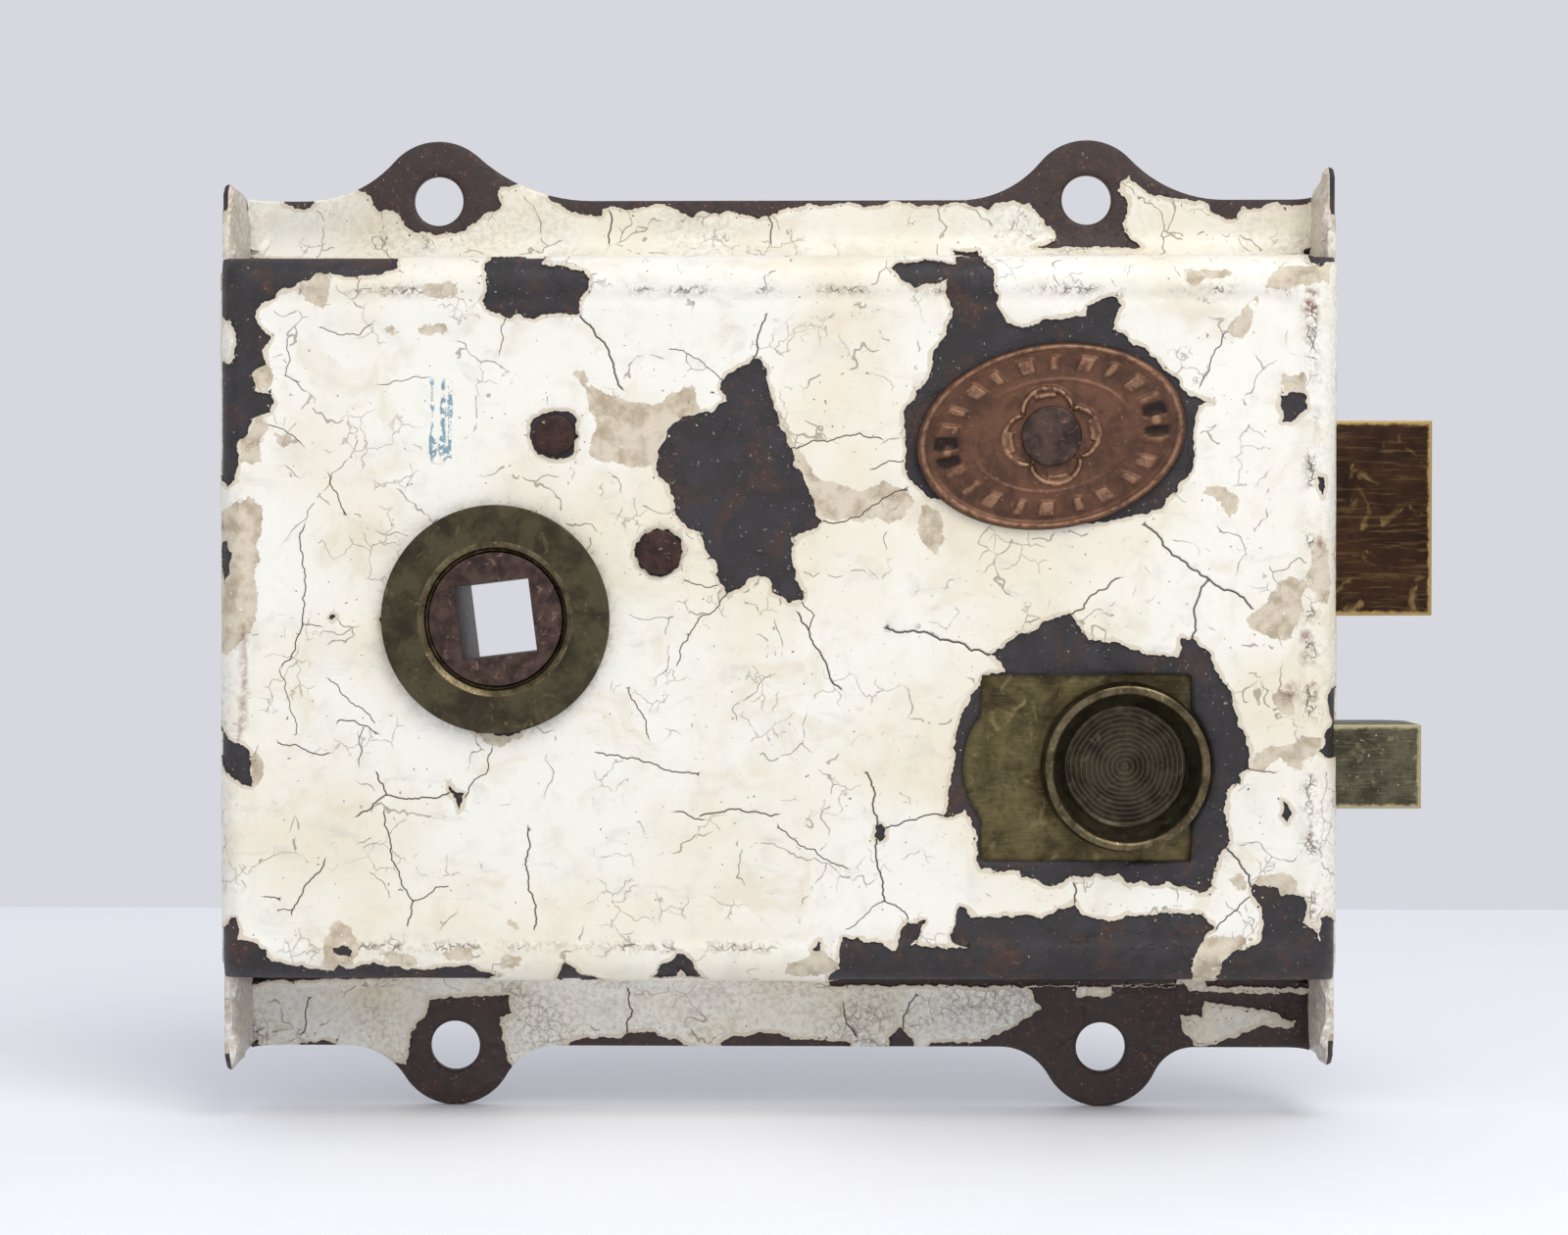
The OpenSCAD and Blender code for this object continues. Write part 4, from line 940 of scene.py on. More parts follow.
    def bump(self, height, depth, strength=1.0):
        """Relief of the given depth in mm."""
        node = self.nodes.new("ShaderNodeBump")
        node.inputs["Strength"].default_value = strength
        node.inputs["Distance"].default_value = depth * MM
        self.put(node.inputs["Height"], height)
        if self.last_bump:
            self.put(node.inputs["Normal"], self.last_bump)
        self.last_bump = node.outputs[0]
        self.links.new(node.outputs[0], self.skin.inputs["Normal"])

    def done(self, colour, roughness, metallic=0.0):
        """The finished material."""
        self.put(self.skin.inputs["Base Color"], colour)
        self.put(self.skin.inputs["Roughness"], roughness)
        self.put(self.skin.inputs["Metallic"], metallic)
        return self.material


CREAM, CREAM_WARM, CREAM_GREY = tone(235, 233, 223), tone(228, 220, 198), tone(206, 203, 192)
BEIGE, BEIGE_DARK = tone(208, 197, 176), tone(170, 155, 130)
JAPAN, JAPAN_BLUE, JAPAN_BROWN = tone(33, 28, 29), tone(43, 39, 46), tone(56, 37, 30)
RUST, RUST_LIGHT = tone(92, 54, 38), tone(146, 100, 70)


def japanned(f):
    """Colour and roughness of bare japanned steel: bluish black, browned where it rusts."""
    base = f.blend(f.step(f.cloud(3.2, 6, 0.62), 0.42, 0.66), JAPAN, JAPAN_BLUE)
    brown = f.step(f.cloud(5.5, 7, 0.66, bend=0.4), 0.5, 0.62)
    flange = f.step(f.axis("Y"), -9.0, -3.0)
    brown = f.higher(brown, f.times(flange, 0.7))
    base = f.blend(brown, base, JAPAN_BROWN)
    spots = f.step(f.cloud(1.0, 6, 0.72), 0.55, 0.66)
    spots = f.times(spots, f.level(brown, 0.12, 0.85))
    base = f.blend(spots, base, RUST)
    bright = f.step(f.cloud(0.8, 5, 0.7, bend=0.3), 0.63, 0.7)
    base = f.blend(f.times(bright, brown), base, RUST_LIGHT)
    crumbs = f.step(f.cloud(0.42, 2, 0.5), 0.71, 0.74)
    base = f.blend(f.times(crumbs, 0.75), base, BEIGE_DARK)
    rough = f.level(f.cloud(1.4, 5, 0.6), 0.28, 0.72)
    return base, rough


def bare_places(f):
    """1 where the paint is gone: the chips with a ragged edge, and specks near them."""
    jitter = f.times(f.minus(f.cloud(0.35, 3, 0.6), 0.5), 0.16)
    chipped = f.step(f.plus(f.value("chip"), jitter), 0.0, -0.05)
    near = f.times(f.higher(f.value("chip"), 0.0), 0.05)
    specks = f.step(f.minus(f.cloud(0.55, 3, 0.6), near), 0.66, 0.675)
    deep = f.times(f.lower(f.value("chip"), 0.0), 0.035)
    flecks = f.step(f.plus(f.cloud(0.6, 4, 0.65), deep), 0.655, 0.67)
    chipped = f.times(chipped, f.minus(1.0, flecks))
    return f.higher(chipped, f.times(specks, f.step(f.value("chip"), 2.2, 1.4)))


def cream_coat(f):
    """The top coat, yellowed, dusty, smeared, and darkened by dirt and painted shade, and 1 where
    hair cracks and flakes cut it.
    """
    cream = f.blend(f.step(f.cloud(22, 4, 0.5), 0.4, 0.68), CREAM, CREAM_WARM)
    cream = f.blend(f.times(f.step(f.cloud(3.5, 5, 0.6), 0.5, 0.8), 0.5), cream, CREAM_GREY)
    dust = f.step(f.cloud(0.8, 5, 0.7), 0.6, 0.74)
    cream = f.blend(f.times(dust, 0.28), cream, BEIGE_DARK)
    tick = f.step(f.cloud(0.5, 2, 0.4), 0.745, 0.76)
    cream = f.blend(f.times(tick, 0.75), cream, RUST)
    smear = f.step(f.cloud(8, 6, 0.62, f.warped(5, 4), 0.8), 0.5, 0.72)
    cream = f.blend(f.times(smear, 0.5), cream, tone(214, 200, 172))
    rub = f.step(f.cloud(5, 6, 0.68, f.warped(9, 6, 0.6, 1, 1.6), 0.5), 0.56, 0.7)
    cream = f.blend(f.times(rub, 0.35), cream, tone(190, 188, 182))

    hairs = f.step(f.cells(10, f.warped(3.5, 5)), 0.009, 0.003)
    some = f.times(f.step(f.cloud(13, 3, 0.5), 0.47, 0.53), f.step(f.cloud(2.6, 3), 0.47, 0.53))
    fine = f.step(f.cells(3.4, f.warped(1.6, 2.2)), 0.016, 0.006)
    fine = f.times(fine, f.step(f.cloud(9, 3, 0.5, f.stretched(1, 1, 1.5)), 0.57, 0.62))
    hairs = f.higher(f.times(hairs, some), f.times(fine, 0.7))
    cream = f.blend(f.times(hairs, 0.6), cream, tone(112, 92, 74))
    flakes = f.step(f.cells(1.3, f.warped(0.8, 1.2)), 0.07, 0.02)
    flakes = f.times(flakes, f.step(f.value("grime_and_shade"), 0.45, 0.75))
    # Mottled brown darkening from the stored values: dirt, and painted shade on the flanges, in the
    # bends and round the collar.
    grime_and_shade = f.times(f.value("grime_and_shade"), f.step(f.cloud(0.7, 6, 0.72), 0.44, 0.6))
    cream = f.blend(f.times(grime_and_shade, 0.75), cream, f.blend(f.cloud(1.5, 5), BEIGE_DARK, RUST))
    cream = f.blend(f.times(flakes, 0.7), cream, JAPAN_BROWN)
    edge = f.plus(f.value("chip"), f.times(f.cloud(1.7, 4, 0.6), -1.1))
    cream = f.blend(f.times(f.step(edge, -0.1, -0.22), 0.85), cream, BEIGE)
    return cream, f.higher(hairs, flakes)


def crayon_strokes(f):
    """1 along three upright strokes of blue crayon, as (x, half width)."""
    strokes = 0.0
    for x, half in ((-7.2, 0.3), (-6.0, 0.34), (-5.2, 0.2)):
        off = f.number("ABSOLUTE", f.minus(f.axis("X"), x))
        off = f.plus(off, f.times(f.minus(f.cloud(3.5), 0.5), 1.6))
        strokes = f.higher(f.step(off, half, half * 0.4), strokes)
    high = f.times(f.step(f.axis("Z"), 17.4, 18.2), f.step(f.axis("Z"), 27.5, 26.5))
    return f.times(strokes, f.times(high, f.step(f.cloud(0.5, 3), 0.44, 0.52)))


def paint_finish():
    """Cracked cream paint over a beige coat over japanned steel."""
    f = Finish("cream_paint")
    bare = bare_places(f)
    ragged = f.times(f.minus(f.cloud(1.1, 5, 0.65), 0.5), 1.5)
    top_gone = f.step(f.plus(f.value("under"), ragged), 0.0, -0.06)
    cream, cuts = cream_coat(f)
    beige = f.blend(f.step(f.cloud(1.8, 6, 0.6), 0.4, 0.7), BEIGE, BEIGE_DARK)
    beige = f.blend(f.step(f.cloud(0.45, 3), 0.66, 0.7), beige, CREAM)
    coat = f.blend(top_gone, cream, beige)
    stain = f.times(f.value("rust"), f.step(f.cloud(0.7, 5, 0.7), 0.3, 0.56))
    coat = f.blend(stain, coat, f.blend(f.cloud(0.6), RUST_LIGHT, RUST))
    crayon = f.blend(0.8, coat, tone(58, 122, 148))
    coat = f.blend(crayon_strokes(f), coat, crayon)

    dark, dark_rough = japanned(f)
    crack = f.step(f.value("crack"), 0.3, 0.75)
    colour = f.blend(f.times(crack, 0.9), f.blend(bare, coat, dark), tone(48, 34, 28))
    gloss = f.level(f.cloud(2.2, 5, 0.6), 0.3, 0.52)
    gloss = f.level(top_gone, gloss, 0.7)

    f.bump(f.cloud(5.5, 3, 0.5, f.stretched(0.5, 1, 1.3)), 0.12, 0.5)
    f.bump(f.cloud(0.9, 4, 0.6), 0.03, 0.7)
    f.bump(cuts, -0.08, 1.0)
    f.bump(f.times(bare, f.cloud(0.5, 6, 0.7)), 0.16, 0.8)
    return f.done(colour, f.level(bare, gloss, dark_rough))


def inner_finish():
    """Japanned steel of the inside of the case and the back."""
    f = Finish("japanned_back")
    colour, rough = japanned(f)
    area = f.step(f.cloud(24, 5, 0.6, bend=0.4), 0.4, 0.68)
    fleck = f.step(f.cloud(2.2, 7, 0.75, bend=0.6), 0.46, 0.66)
    rusty = f.times(f.times(area, fleck), 0.75)
    colour = f.blend(rusty, colour, f.blend(f.cloud(1.1, 6, 0.7), RUST, RUST_LIGHT))
    f.bump(f.cloud(0.6, 6, 0.7), 0.12, 0.8)
    f.bump(f.cloud(4, 4, 0.6), 0.15, 0.5)
    return f.done(colour, rough)


def edge_gap(f, node):
    """Distance in mm from the nearest edge of a CAD node's box."""
    lo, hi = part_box(node)
    gaps = []
    for i, letter in enumerate("XYZ"):
        place = f.axis(letter)
        low = f.minus(place, lo[i] / MM)
        high = f.minus(hi[i] / MM, place)
        gaps.append(f.higher(f.lower(low, high), 0.0))
    a, b, c = gaps
    larger = f.higher(a, b)
    return f.higher(f.lower(a, b), f.lower(larger, c))


def metal(name, base, dark, bright, size, rough, edges=None, worn=0.0, specks=None, brushed=None,
          metallic=0.9, rings=None):
    """Aged metal: a patchy patina, darker and brighter places, scratches and bright edges."""
    f = Finish(name)
    colour = f.blend(f.step(f.cloud(size, 7, 0.65, bend=0.3), 0.36, 0.66), base, dark)
    fine = f.step(f.cloud(size * 0.2, 5, 0.65), 0.5, 0.72)
    colour = f.blend(f.times(fine, 0.55), colour, dark)
    light = f.step(f.cloud(size * 0.55, 6, 0.6, bend=0.7), 0.58, 0.72)
    colour = f.blend(f.times(light, 0.45), colour, bright)
    grain = f.stretched(*(brushed or (1.0, 1.0, 1.0)))
    lines = f.cloud(0.5, 4, 0.6, grain)
    if brushed:
        colour = f.blend(f.times(f.step(lines, 0.5, 0.7), 0.16), colour, bright)
    if edges:
        gap = f.plus(edge_gap(f, edges), f.times(f.cloud(1.0, 5, 0.7), -0.9))
        wear = f.times(f.step(gap, worn, worn * 0.1 - 0.25), 0.9)
        colour = f.blend(wear, colour, bright)
    if specks:
        seen = f.step(f.cloud(0.5, 3, 0.6), 0.69, 0.71)
        colour = f.blend(f.times(seen, 0.85), colour, specks)
    f.bump(f.cloud(size * 0.5, 5, 0.6), 0.06, 0.6)
    f.bump(f.cloud(0.35, 5, 0.7), 0.05, 0.7)
    f.bump(lines, 0.02, 0.6)
    if rings:
        across = f.number("POWER", f.minus(f.axis("X"), rings[0]), 2.0)
        up = f.number("POWER", f.minus(f.axis("Z"), rings[1]), 2.0)
        far = f.number("SQRT", f.plus(across, up))
        far = f.plus(far, f.times(f.cloud(4.0), 0.8))
        marks = f.number("SINE", f.times(far, 11.0))
        colour = f.blend(f.times(f.step(marks, 0.5, 1.0), 0.3), colour, bright)
        f.bump(marks, 0.03, 0.8)
    return f.done(colour, f.level(f.cloud(size * 0.4, 6, 0.65), *rough), metallic)


PAINT = paint_finish()
BACK = inner_finish()
STEEL = metal("oiled_steel", tone(128, 124, 120), tone(74, 64, 58), tone(172, 170, 166), 4,
              (0.28, 0.55), brushed=(0.3, 2.0, 2.0))
SPRING = metal("blued_spring", tone(70, 72, 86), tone(48, 38, 34), tone(130, 128, 134), 2.5,
               (0.25, 0.5))
SCREWS = metal("screw_steel", tone(104, 94, 86), tone(66, 46, 38), tone(158, 152, 144), 2,
               (0.35, 0.7), specks=BEIGE)
STUMPS = metal("rusty_rivet", tone(70, 46, 40), tone(42, 28, 26), tone(112, 78, 66), 1.4,
               (0.35, 0.7), metallic=0.55, specks=tone(176, 160, 140))
LATCH = metal("latch_brass", tone(66, 44, 30), tone(42, 27, 20), tone(176, 148, 92), 6,
              (0.3, 0.55), edges="latch_bolt", brushed=(0.12, 1.0, 1.4), worn=0.16)
NIGHT = metal("night_brass", tone(98, 94, 76), tone(62, 56, 44), tone(178, 168, 130), 4,
              (0.34, 0.6), edges="night_bolt", brushed=(0.2, 1.0, 2.4),
              specks=tone(196, 198, 180), worn=0.18)
PLATE = metal("slide_brass", tone(106, 95, 64), tone(62, 53, 36), tone(160, 146, 104), 4.5,
              (0.3, 0.55), brushed=(0.25, 1.0, 3.0), specks=tone(96, 112, 92))
# Darker brass for the cup's floor: painted shade of the hollow, with turning marks.
CUP_FLOOR_SHADED = metal("cup_floor_painted_shade", tone(64, 60, 46), tone(38, 33, 26), tone(112, 106, 84), 3.0,
                  (0.3, 0.5), rings=CUP)
COLLAR = metal("collar_brass", tone(80, 74, 52), tone(52, 44, 32), tone(146, 132, 92), 3.2,
               (0.32, 0.6), specks=tone(104, 128, 112), metallic=0.75)
LIP = metal("bright_brass", tone(116, 104, 78), tone(70, 60, 42), tone(190, 178, 142), 1.8,
            (0.22, 0.45))
CUP_METAL = metal("cup_brass", tone(98, 92, 70), tone(58, 52, 38), tone(160, 150, 120), 2.2,
                  (0.24, 0.5), specks=tone(70, 58, 44))
HUB = metal("hub_iron", tone(82, 62, 54), tone(44, 32, 28), tone(168, 134, 120), 1.8,
            (0.35, 0.65), metallic=0.6)
BUSH = metal("bush_brass", tone(126, 112, 72), tone(80, 66, 44), tone(178, 164, 118), 2.5,
             (0.3, 0.6))


def badge_finish():
    """Copper-brown badge: dark in the hollows, rubbed bright on what stands up."""
    f = Finish("badge_copper")
    high = f.value("height")
    colour = f.blend(f.step(f.cloud(2.4, 6, 0.65), 0.38, 0.66), tone(108, 76, 58), tone(82, 58, 46))
    colour = f.blend(f.step(high, 0.45, 0.12), colour, tone(44, 33, 29))
    rubbed = f.times(f.step(high, 0.6, 0.95), f.step(f.cloud(0.8, 5, 0.65), 0.36, 0.56))
    colour = f.blend(f.times(rubbed, 0.8), colour, tone(178, 140, 110))
    seen = f.step(f.cloud(0.4, 3, 0.6), 0.68, 0.7)
    colour = f.blend(f.times(seen, 0.6), colour, tone(150, 132, 106))
    f.bump(f.cloud(0.5, 6, 0.7), 0.07, 0.8)
    return f.done(colour, f.level(f.cloud(1.2, 5), 0.32, 0.62), 0.75)


def dress(obj, *materials):
    """Gives an object these materials."""
    obj.data.materials.clear()
    for material in materials:
        obj.data.materials.append(material)


# ---------------------------------------------------------------- the case


def paint_outlines():
    """Broken lines on the unrolled skin: bare places, paint left in them, top coat gone, cracks."""
    bare, islands, unders, cracks = [], [], [], []
    for k, shape in enumerate([*BARE.values(), *FLANGE_BARE.values()]):
        bare.append(jagged(unrolled(shape), True, 0.3, 0.17, seed=k))
    for k, shape in enumerate(ISLANDS.values()):
        islands.append(jagged(unrolled(shape), True, 0.3, 0.17, seed=100 + k))
    for k, shape in enumerate(UNDER.values()):
        unders.append(jagged(unrolled(shape), True, 0.5, 0.15, seed=200 + k))
    for k, (width, points) in enumerate(CRACKS):
        line = jagged([unroll(p) for p in points], False, 0.4, 0.14, seed=300 + k)
        cracks.append((width, line))
    return bare, islands, unders, cracks


def case_points(outline, holes, bare, islands, cracks):
    """The skin's points: a grid, closer at the bends, and rows beside each outline and crack."""
    columns = ticks([
        (MID_X - ROLL_END, 0), (MID_X - ROLL_END + 6.5, 0.5), (MID_X + ROLL_END - 6.5, 0.95),
        (MID_X + ROLL_END, 0.5),
    ])
    rows = ticks([
        (LOWER_EDGE - FLANGE_SHIFT - 9, 0), (-BEND_END, 1.0), (-WALL_END, 0.6), (-ARC_END, 1.5),
        (-FLAT_END + 6, 0.55), (FLAT_END - 6, 0.95), (ARC_END, 0.55), (WALL_END, 1.5),
        (BEND_END, 0.6), (UPPER_EDGE + FLANGE_SHIFT + 9, 1.0),
    ])
    points = grid(columns, rows, 0.16, 5)
    points = points[on_sheet(points, outline, holes)]
    free = np.abs(signed(points, bare, islands)) > 0.2
    for width, line in cracks:
        free &= near_line(points, line, False, 2.0) > width / 2 + 0.15
    free &= near_line(points, outline, True) > 0.3
    for line in holes:
        free &= near_line(points, line, True) > 0.5
    found = [points[free]]
    found += [inset(line, 0.09) for line in bare]
    found += [inset(line, -0.09) for line in islands]
    for width, line in cracks:
        middle = np.array(line)
        aside = beside(np.gradient(middle, axis=0), width / 2)
        found += [middle + aside, middle - aside]
    found += [inset(line, -by) for line in holes for by in (0.2, 0.45)]
    found.append(inset(outline, 0.25))
    points = np.concatenate(found)
    return points[on_sheet(points, outline, holes)]


def case_grime_and_shade(uv):
    """Darkening, part dirt and part painted shade: dirt along the creases, dirt and painted shade
    round the collar, in the bends and on the flanges, a painted shadow on the lower flange, and
    darker mottling at both ends.
    """
    u, s = uv[:, 0], np.abs(uv[:, 1])
    # Ring round the foot of the collar: dirt and painted shade between the parts.
    spot = np.hypot(u, uv[:, 1])
    found = 0.5 * np.exp(-(((spot - COLLAR_R) / 0.7) ** 2))
    crease = np.abs(s - (FLAT_END - 1.2))
    found += 0.9 * np.exp(-((crease / 0.6) ** 2)) * smooth(0.5 + 2 * waves(uv, 4, 5.0))
    side = np.abs(u - (X1 - 3.4))
    found += 0.9 * np.exp(-((side / 0.9) ** 2)) * smooth(0.6 + 2 * waves(uv, 3, 6.0))
    # Band in the bend from wall to flange: dirt and painted shade in the corner.
    found += 0.5 * np.exp(-(((s - WALL_END) / 1.4) ** 2))
    # Darker mottling at both ends.
    ends = ROLL_END - np.abs(u - MID_X)
    found += 0.7 * np.exp(-((ends / 3.4) ** 2)) * (0.6 + 0.6 * waves(uv, 5, 12.0))
    # Both flanges darker: dirt and painted shade.
    found += 0.35 * (s > WALL_END) * smooth(0.4 + 1.5 * waves(uv, 9, 2.0))
    # Lower bend and flange darker still: painted shadow under the box, on top of the dirt.
    found += 0.25 * (uv[:, 1] < -WALL_END)
    return np.clip(found, 0, 1)


def case_rust(uv):
    """Rust round each speck, and a streak at the left edge."""
    found = np.zeros(len(uv))
    for x, z, r in RUST_SPOTS:
        at = unroll((x, z))
        gap = np.hypot(uv[:, 0] - at[0], uv[:, 1] - at[1])
        found = np.maximum(found, smooth(1.4 - gap / r))
    streak = near_line(uv, [(-28.7, -0.7), (-28.5, -7), (-28.9, -13.4)], False)
    return np.maximum(found, 0.7 * smooth(1.2 - streak / 0.45))


def case_waves(uv):
    """How far the paint is sunk, and how far a filled hole and a blister stand up."""
    sunk = 0.04 * waves(uv, 24, 3.1) + 0.02 * waves(uv, 6, 8.2)
    scar = 0.35 * np.exp(-(((uv[:, 0] + 16.3) / 3.4) ** 4) - ((uv[:, 1] + 1.2) / 1.7) ** 4)
    blister = 0.25 * np.exp(-(((uv[:, 0] + 17.6) / 2.0) ** 2) - ((uv[:, 1] + 36.8) / 2.6) ** 2)
    for at, r in ((UPPER_STUMP, 4.1), (LOWER_STUMP, 3.6)):
        off = np.hypot(uv[:, 0] - at[0], uv[:, 1] - at[1])
        sunk -= 0.26 * np.exp(-(((off - r) / 0.5) ** 2)) * (1 + 0.5 * waves(uv, 1.6, r))
    return sunk, scar, blister


def case_skin():
    """The painted pressing: one closed sheet with chips, cracks and a soft border."""
    outline = in_steps(case_outline(), EDGE_STEP)
    holes = [ring((x, z), HOLE_R, 48) for x, z in hole_centres()]
    holes += [ring((0, 0), SPIGOT_R, 96), window_outline()]
    bare, islands, unders, cracks = paint_outlines()
    points = case_points(outline, holes, bare, islands, cracks)
    lines = [line + line[:1] for line in bare + islands] + [line for _, line in cracks]
    lines = [part for line in lines for part in clipped(line, outline, holes)]
    known = {}

    def facts(uv):
        """Distances that depth and attributes share, worked out once for each set of points."""
        key = uv.tobytes()
        if key not in known:
            crack = np.zeros(len(uv))
            for width, line in cracks:
                gap = near_line(uv, line, False, 2.0)
                crack = np.maximum(crack, np.clip(1 - gap / (width / 2), 0, 1))
            known[key] = {
                "chip": signed(uv, bare, islands),
                "under": signed(uv, unders),
                "crack": crack,
                "edge": nearest_edge(uv, outline, holes),
            }
        return known[key]

    def outer(uv):
        near = facts(uv)
        lip = 0.05 * np.exp(-((near["chip"] / 0.5) ** 2)) * (near["chip"] > 0)
        thin = UNDER_T * smooth(-near["under"] / 0.15)
        paint = np.maximum(smooth(-near["chip"] / 0.09) * PAINT_T, thin)
        low = np.maximum(paint, 0.2 * near["crack"])
        round_edge = 0.3 * np.clip(1 - near["edge"] / 0.45, 0, 1) ** 2
        sunk, scar, blister = case_waves(uv)
        return case_place(uv, low + round_edge + sunk - lip - scar - blister + 0.06)

    def inner(uv):
        return case_place(uv, np.full(len(uv), SHEET - 0.02))

    shell("case_skin", "case", outline, holes, points, lines, outer, inner, [
        ("chip", lambda uv: facts(uv)["chip"], -3.0),
        ("under", lambda uv: facts(uv)["under"], 3.0),
        ("crack", lambda uv: facts(uv)["crack"], 0.0),
        ("grime_and_shade", case_grime_and_shade, 0.0),
        ("rust", case_rust, 0.0),
    ])


def hole_centres():
    """[u, s] of the four screw holes."""
    high, low = UPPER_EDGE + FLANGE_SHIFT, LOWER_EDGE - FLANGE_SHIFT
    return [(x, high) for x in UPPER_HOLES] + [(x, low) for x in LOWER_HOLES]


def clipped(line, outline, holes):
    """The parts of a line that lie on the skin, clear of its edges."""
    points = np.array(line)
    good = on_sheet(points, outline, holes) & (nearest_edge(points, outline, holes) > 0.12)
    parts, run = [], []
    for p, ok in zip(points.tolist(), good):
        if ok:
            run.append(p)
        elif run:
            parts.append(run)
            run = []
    if run:
        parts.append(run)
    return [part for part in parts if len(part) > 1]


# ---------------------------------------------------------------- end plates


def plate_skin(name, node, outer_x, inner_x, openings, bare_tips):
    """A painted end plate with rounded, chipped edges and tips worn to the steel."""
    lo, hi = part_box(node)
    low, high = lo[2] / MM, hi[2] / MM
    front = lo[1] / MM
    reach = BOX_Z - 1.3
    outline = in_steps([
        (front, low + 1), (front + 1, low), (-0.02, LOWER_EDGE), (-0.02, UPPER_EDGE),
        (front + 1, high), (front, high - 1), (front, reach), (front - 1.3, reach - 0.6),
        (front - 1.3, -reach + 0.6), (front, -reach),
    ], EDGE_STEP)
    holes = [in_steps(line, EDGE_STEP) for line in openings]
    points = grid(np.arange(front - 2, 0.6, 0.7), np.arange(low - 1, high + 1, 0.7), 0.15, 9)
    points = points[on_sheet(points, outline, holes) & (nearest_edge(points, outline, holes) > 0.75)]
    rings = [inset(outline, by) for by in (0.12, 0.3, 0.55)]
    rings += [inset(line, -by) for line in holes for by in (0.12, 0.3, 0.55)]
    points = np.concatenate([points, *rings])
    points = points[on_sheet(points, outline, holes)]
    middle = (outer_x + inner_x) / 2
    half = abs(outer_x - inner_x) / 2
    way = 1 if outer_x > inner_x else -1

    def chip(yz):
        wild = waves(yz, 3.2, 1.7) + 0.6 * waves(yz, 1.1, 2.9) + 0.35 * waves(yz, 0.5, 4.4)
        gap = 1.3 + 2.2 * np.clip(nearest_edge(yz, outline, holes) / 3, 0, 1) + 1.7 * wild
        for z_from, z_to in bare_tips:
            inside_tip = np.minimum(yz[:, 1] - z_from, z_to - yz[:, 1])
            gap = np.minimum(gap, -inside_tip + 0.8 * wild)
        return np.clip(gap, -3, 3)

    def side(yz, sign):
        past = np.clip(0.6 - nearest_edge(yz, outline, holes), 0, 0.6)
        round_off = 0.6 - np.sqrt(np.clip(0.36 - past**2, 0, None))
        worn = 0.14 * smooth(-chip(yz) / 0.4) + 0.03 * waves(yz, 9, 4.0)
        x = middle + sign * (half - np.minimum(round_off, half - 0.02) - np.clip(worn, 0, 0.2))
        return np.stack([x, yz[:, 0], yz[:, 1]], 1)

    shell(name, node, outline, holes, points, [], lambda yz: side(yz, way),
          lambda yz: side(yz, -way), [
              ("chip", chip, 3.0),
              ("under", lambda yz: np.clip(chip(yz) - 0.9 - waves(yz, 6, 7.0), -3, 3), 3.0),
              ("crack", lambda yz: np.zeros(len(yz)), 0.0),
              ("grime_and_shade", lambda yz: 0.35 + 0.35 * waves(yz, 7, 9.0), 0.2),
              ("rust", lambda yz: np.clip(waves(yz, 5, 11.0), 0, 1), 0.4),
          ])


def bolt_hole(node, gap=0.25):
    """Outline of a bolt's opening through the forend, as [y, z]."""
    lo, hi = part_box(node)
    y0, y1 = lo[1] / MM - gap, hi[1] / MM + gap
    z0, z1 = lo[2] / MM - gap, hi[2] / MM + gap
    return [(y0, z0), (y1, z0), (y1, z1), (y0, z1)]


# ---------------------------------------------------------------- round and ornamental pieces


def rounded(corners, r=0.3, steps=4):
    """A closed profile with each corner cut round."""
    line = []
    for before, at, after in zip(corners[-1:] + corners[:-1], corners, corners[1:] + corners[:1]):
        at, before, after = Vector(at), Vector(before), Vector(after)
        if at.x < 1e-6:
            line.append((at.x, at.y))
            continue
        reach = min(r, (before - at).length * 0.45, (after - at).length * 0.45)
        a, b = at + (before - at).normalized() * reach, at + (after - at).normalized() * reach
        for i in range(steps + 1):
            t = i / steps
            p = a * (1 - t) ** 2 + at * 2 * t * (1 - t) + b * t**2
            line.append((p.x, p.y))
    return line


def collar_piece():
    """The brass collar, rubbed bright round its mouth."""
    lo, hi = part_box("front_collar")
    top, field, tail = lo[1] / MM, FRONT_Y + DISH, hi[1] / MM
    bore_r = 7.62
    profile = rounded([
        (COLLAR_R, field + 0.1), (COLLAR_R, top), (MOUTH_R + 0.75, top), (MOUTH_R, top + 0.55),
        (MOUTH_R, field), (bore_r, field + 0.1), (bore_r, tail), (SPIGOT_R, tail),
        (SPIGOT_R, field + 0.1),
    ], 0.22)
    piece = lathe("collar_ring", "front_collar", profile, (0, 0), "body")
    dress(piece, COLLAR, LIP)
    for face in piece.data.polygons:
        x, _, z = face.center / MM
        if math.hypot(x, z) < MOUTH_R + 0.8:
            face.material_index = 1


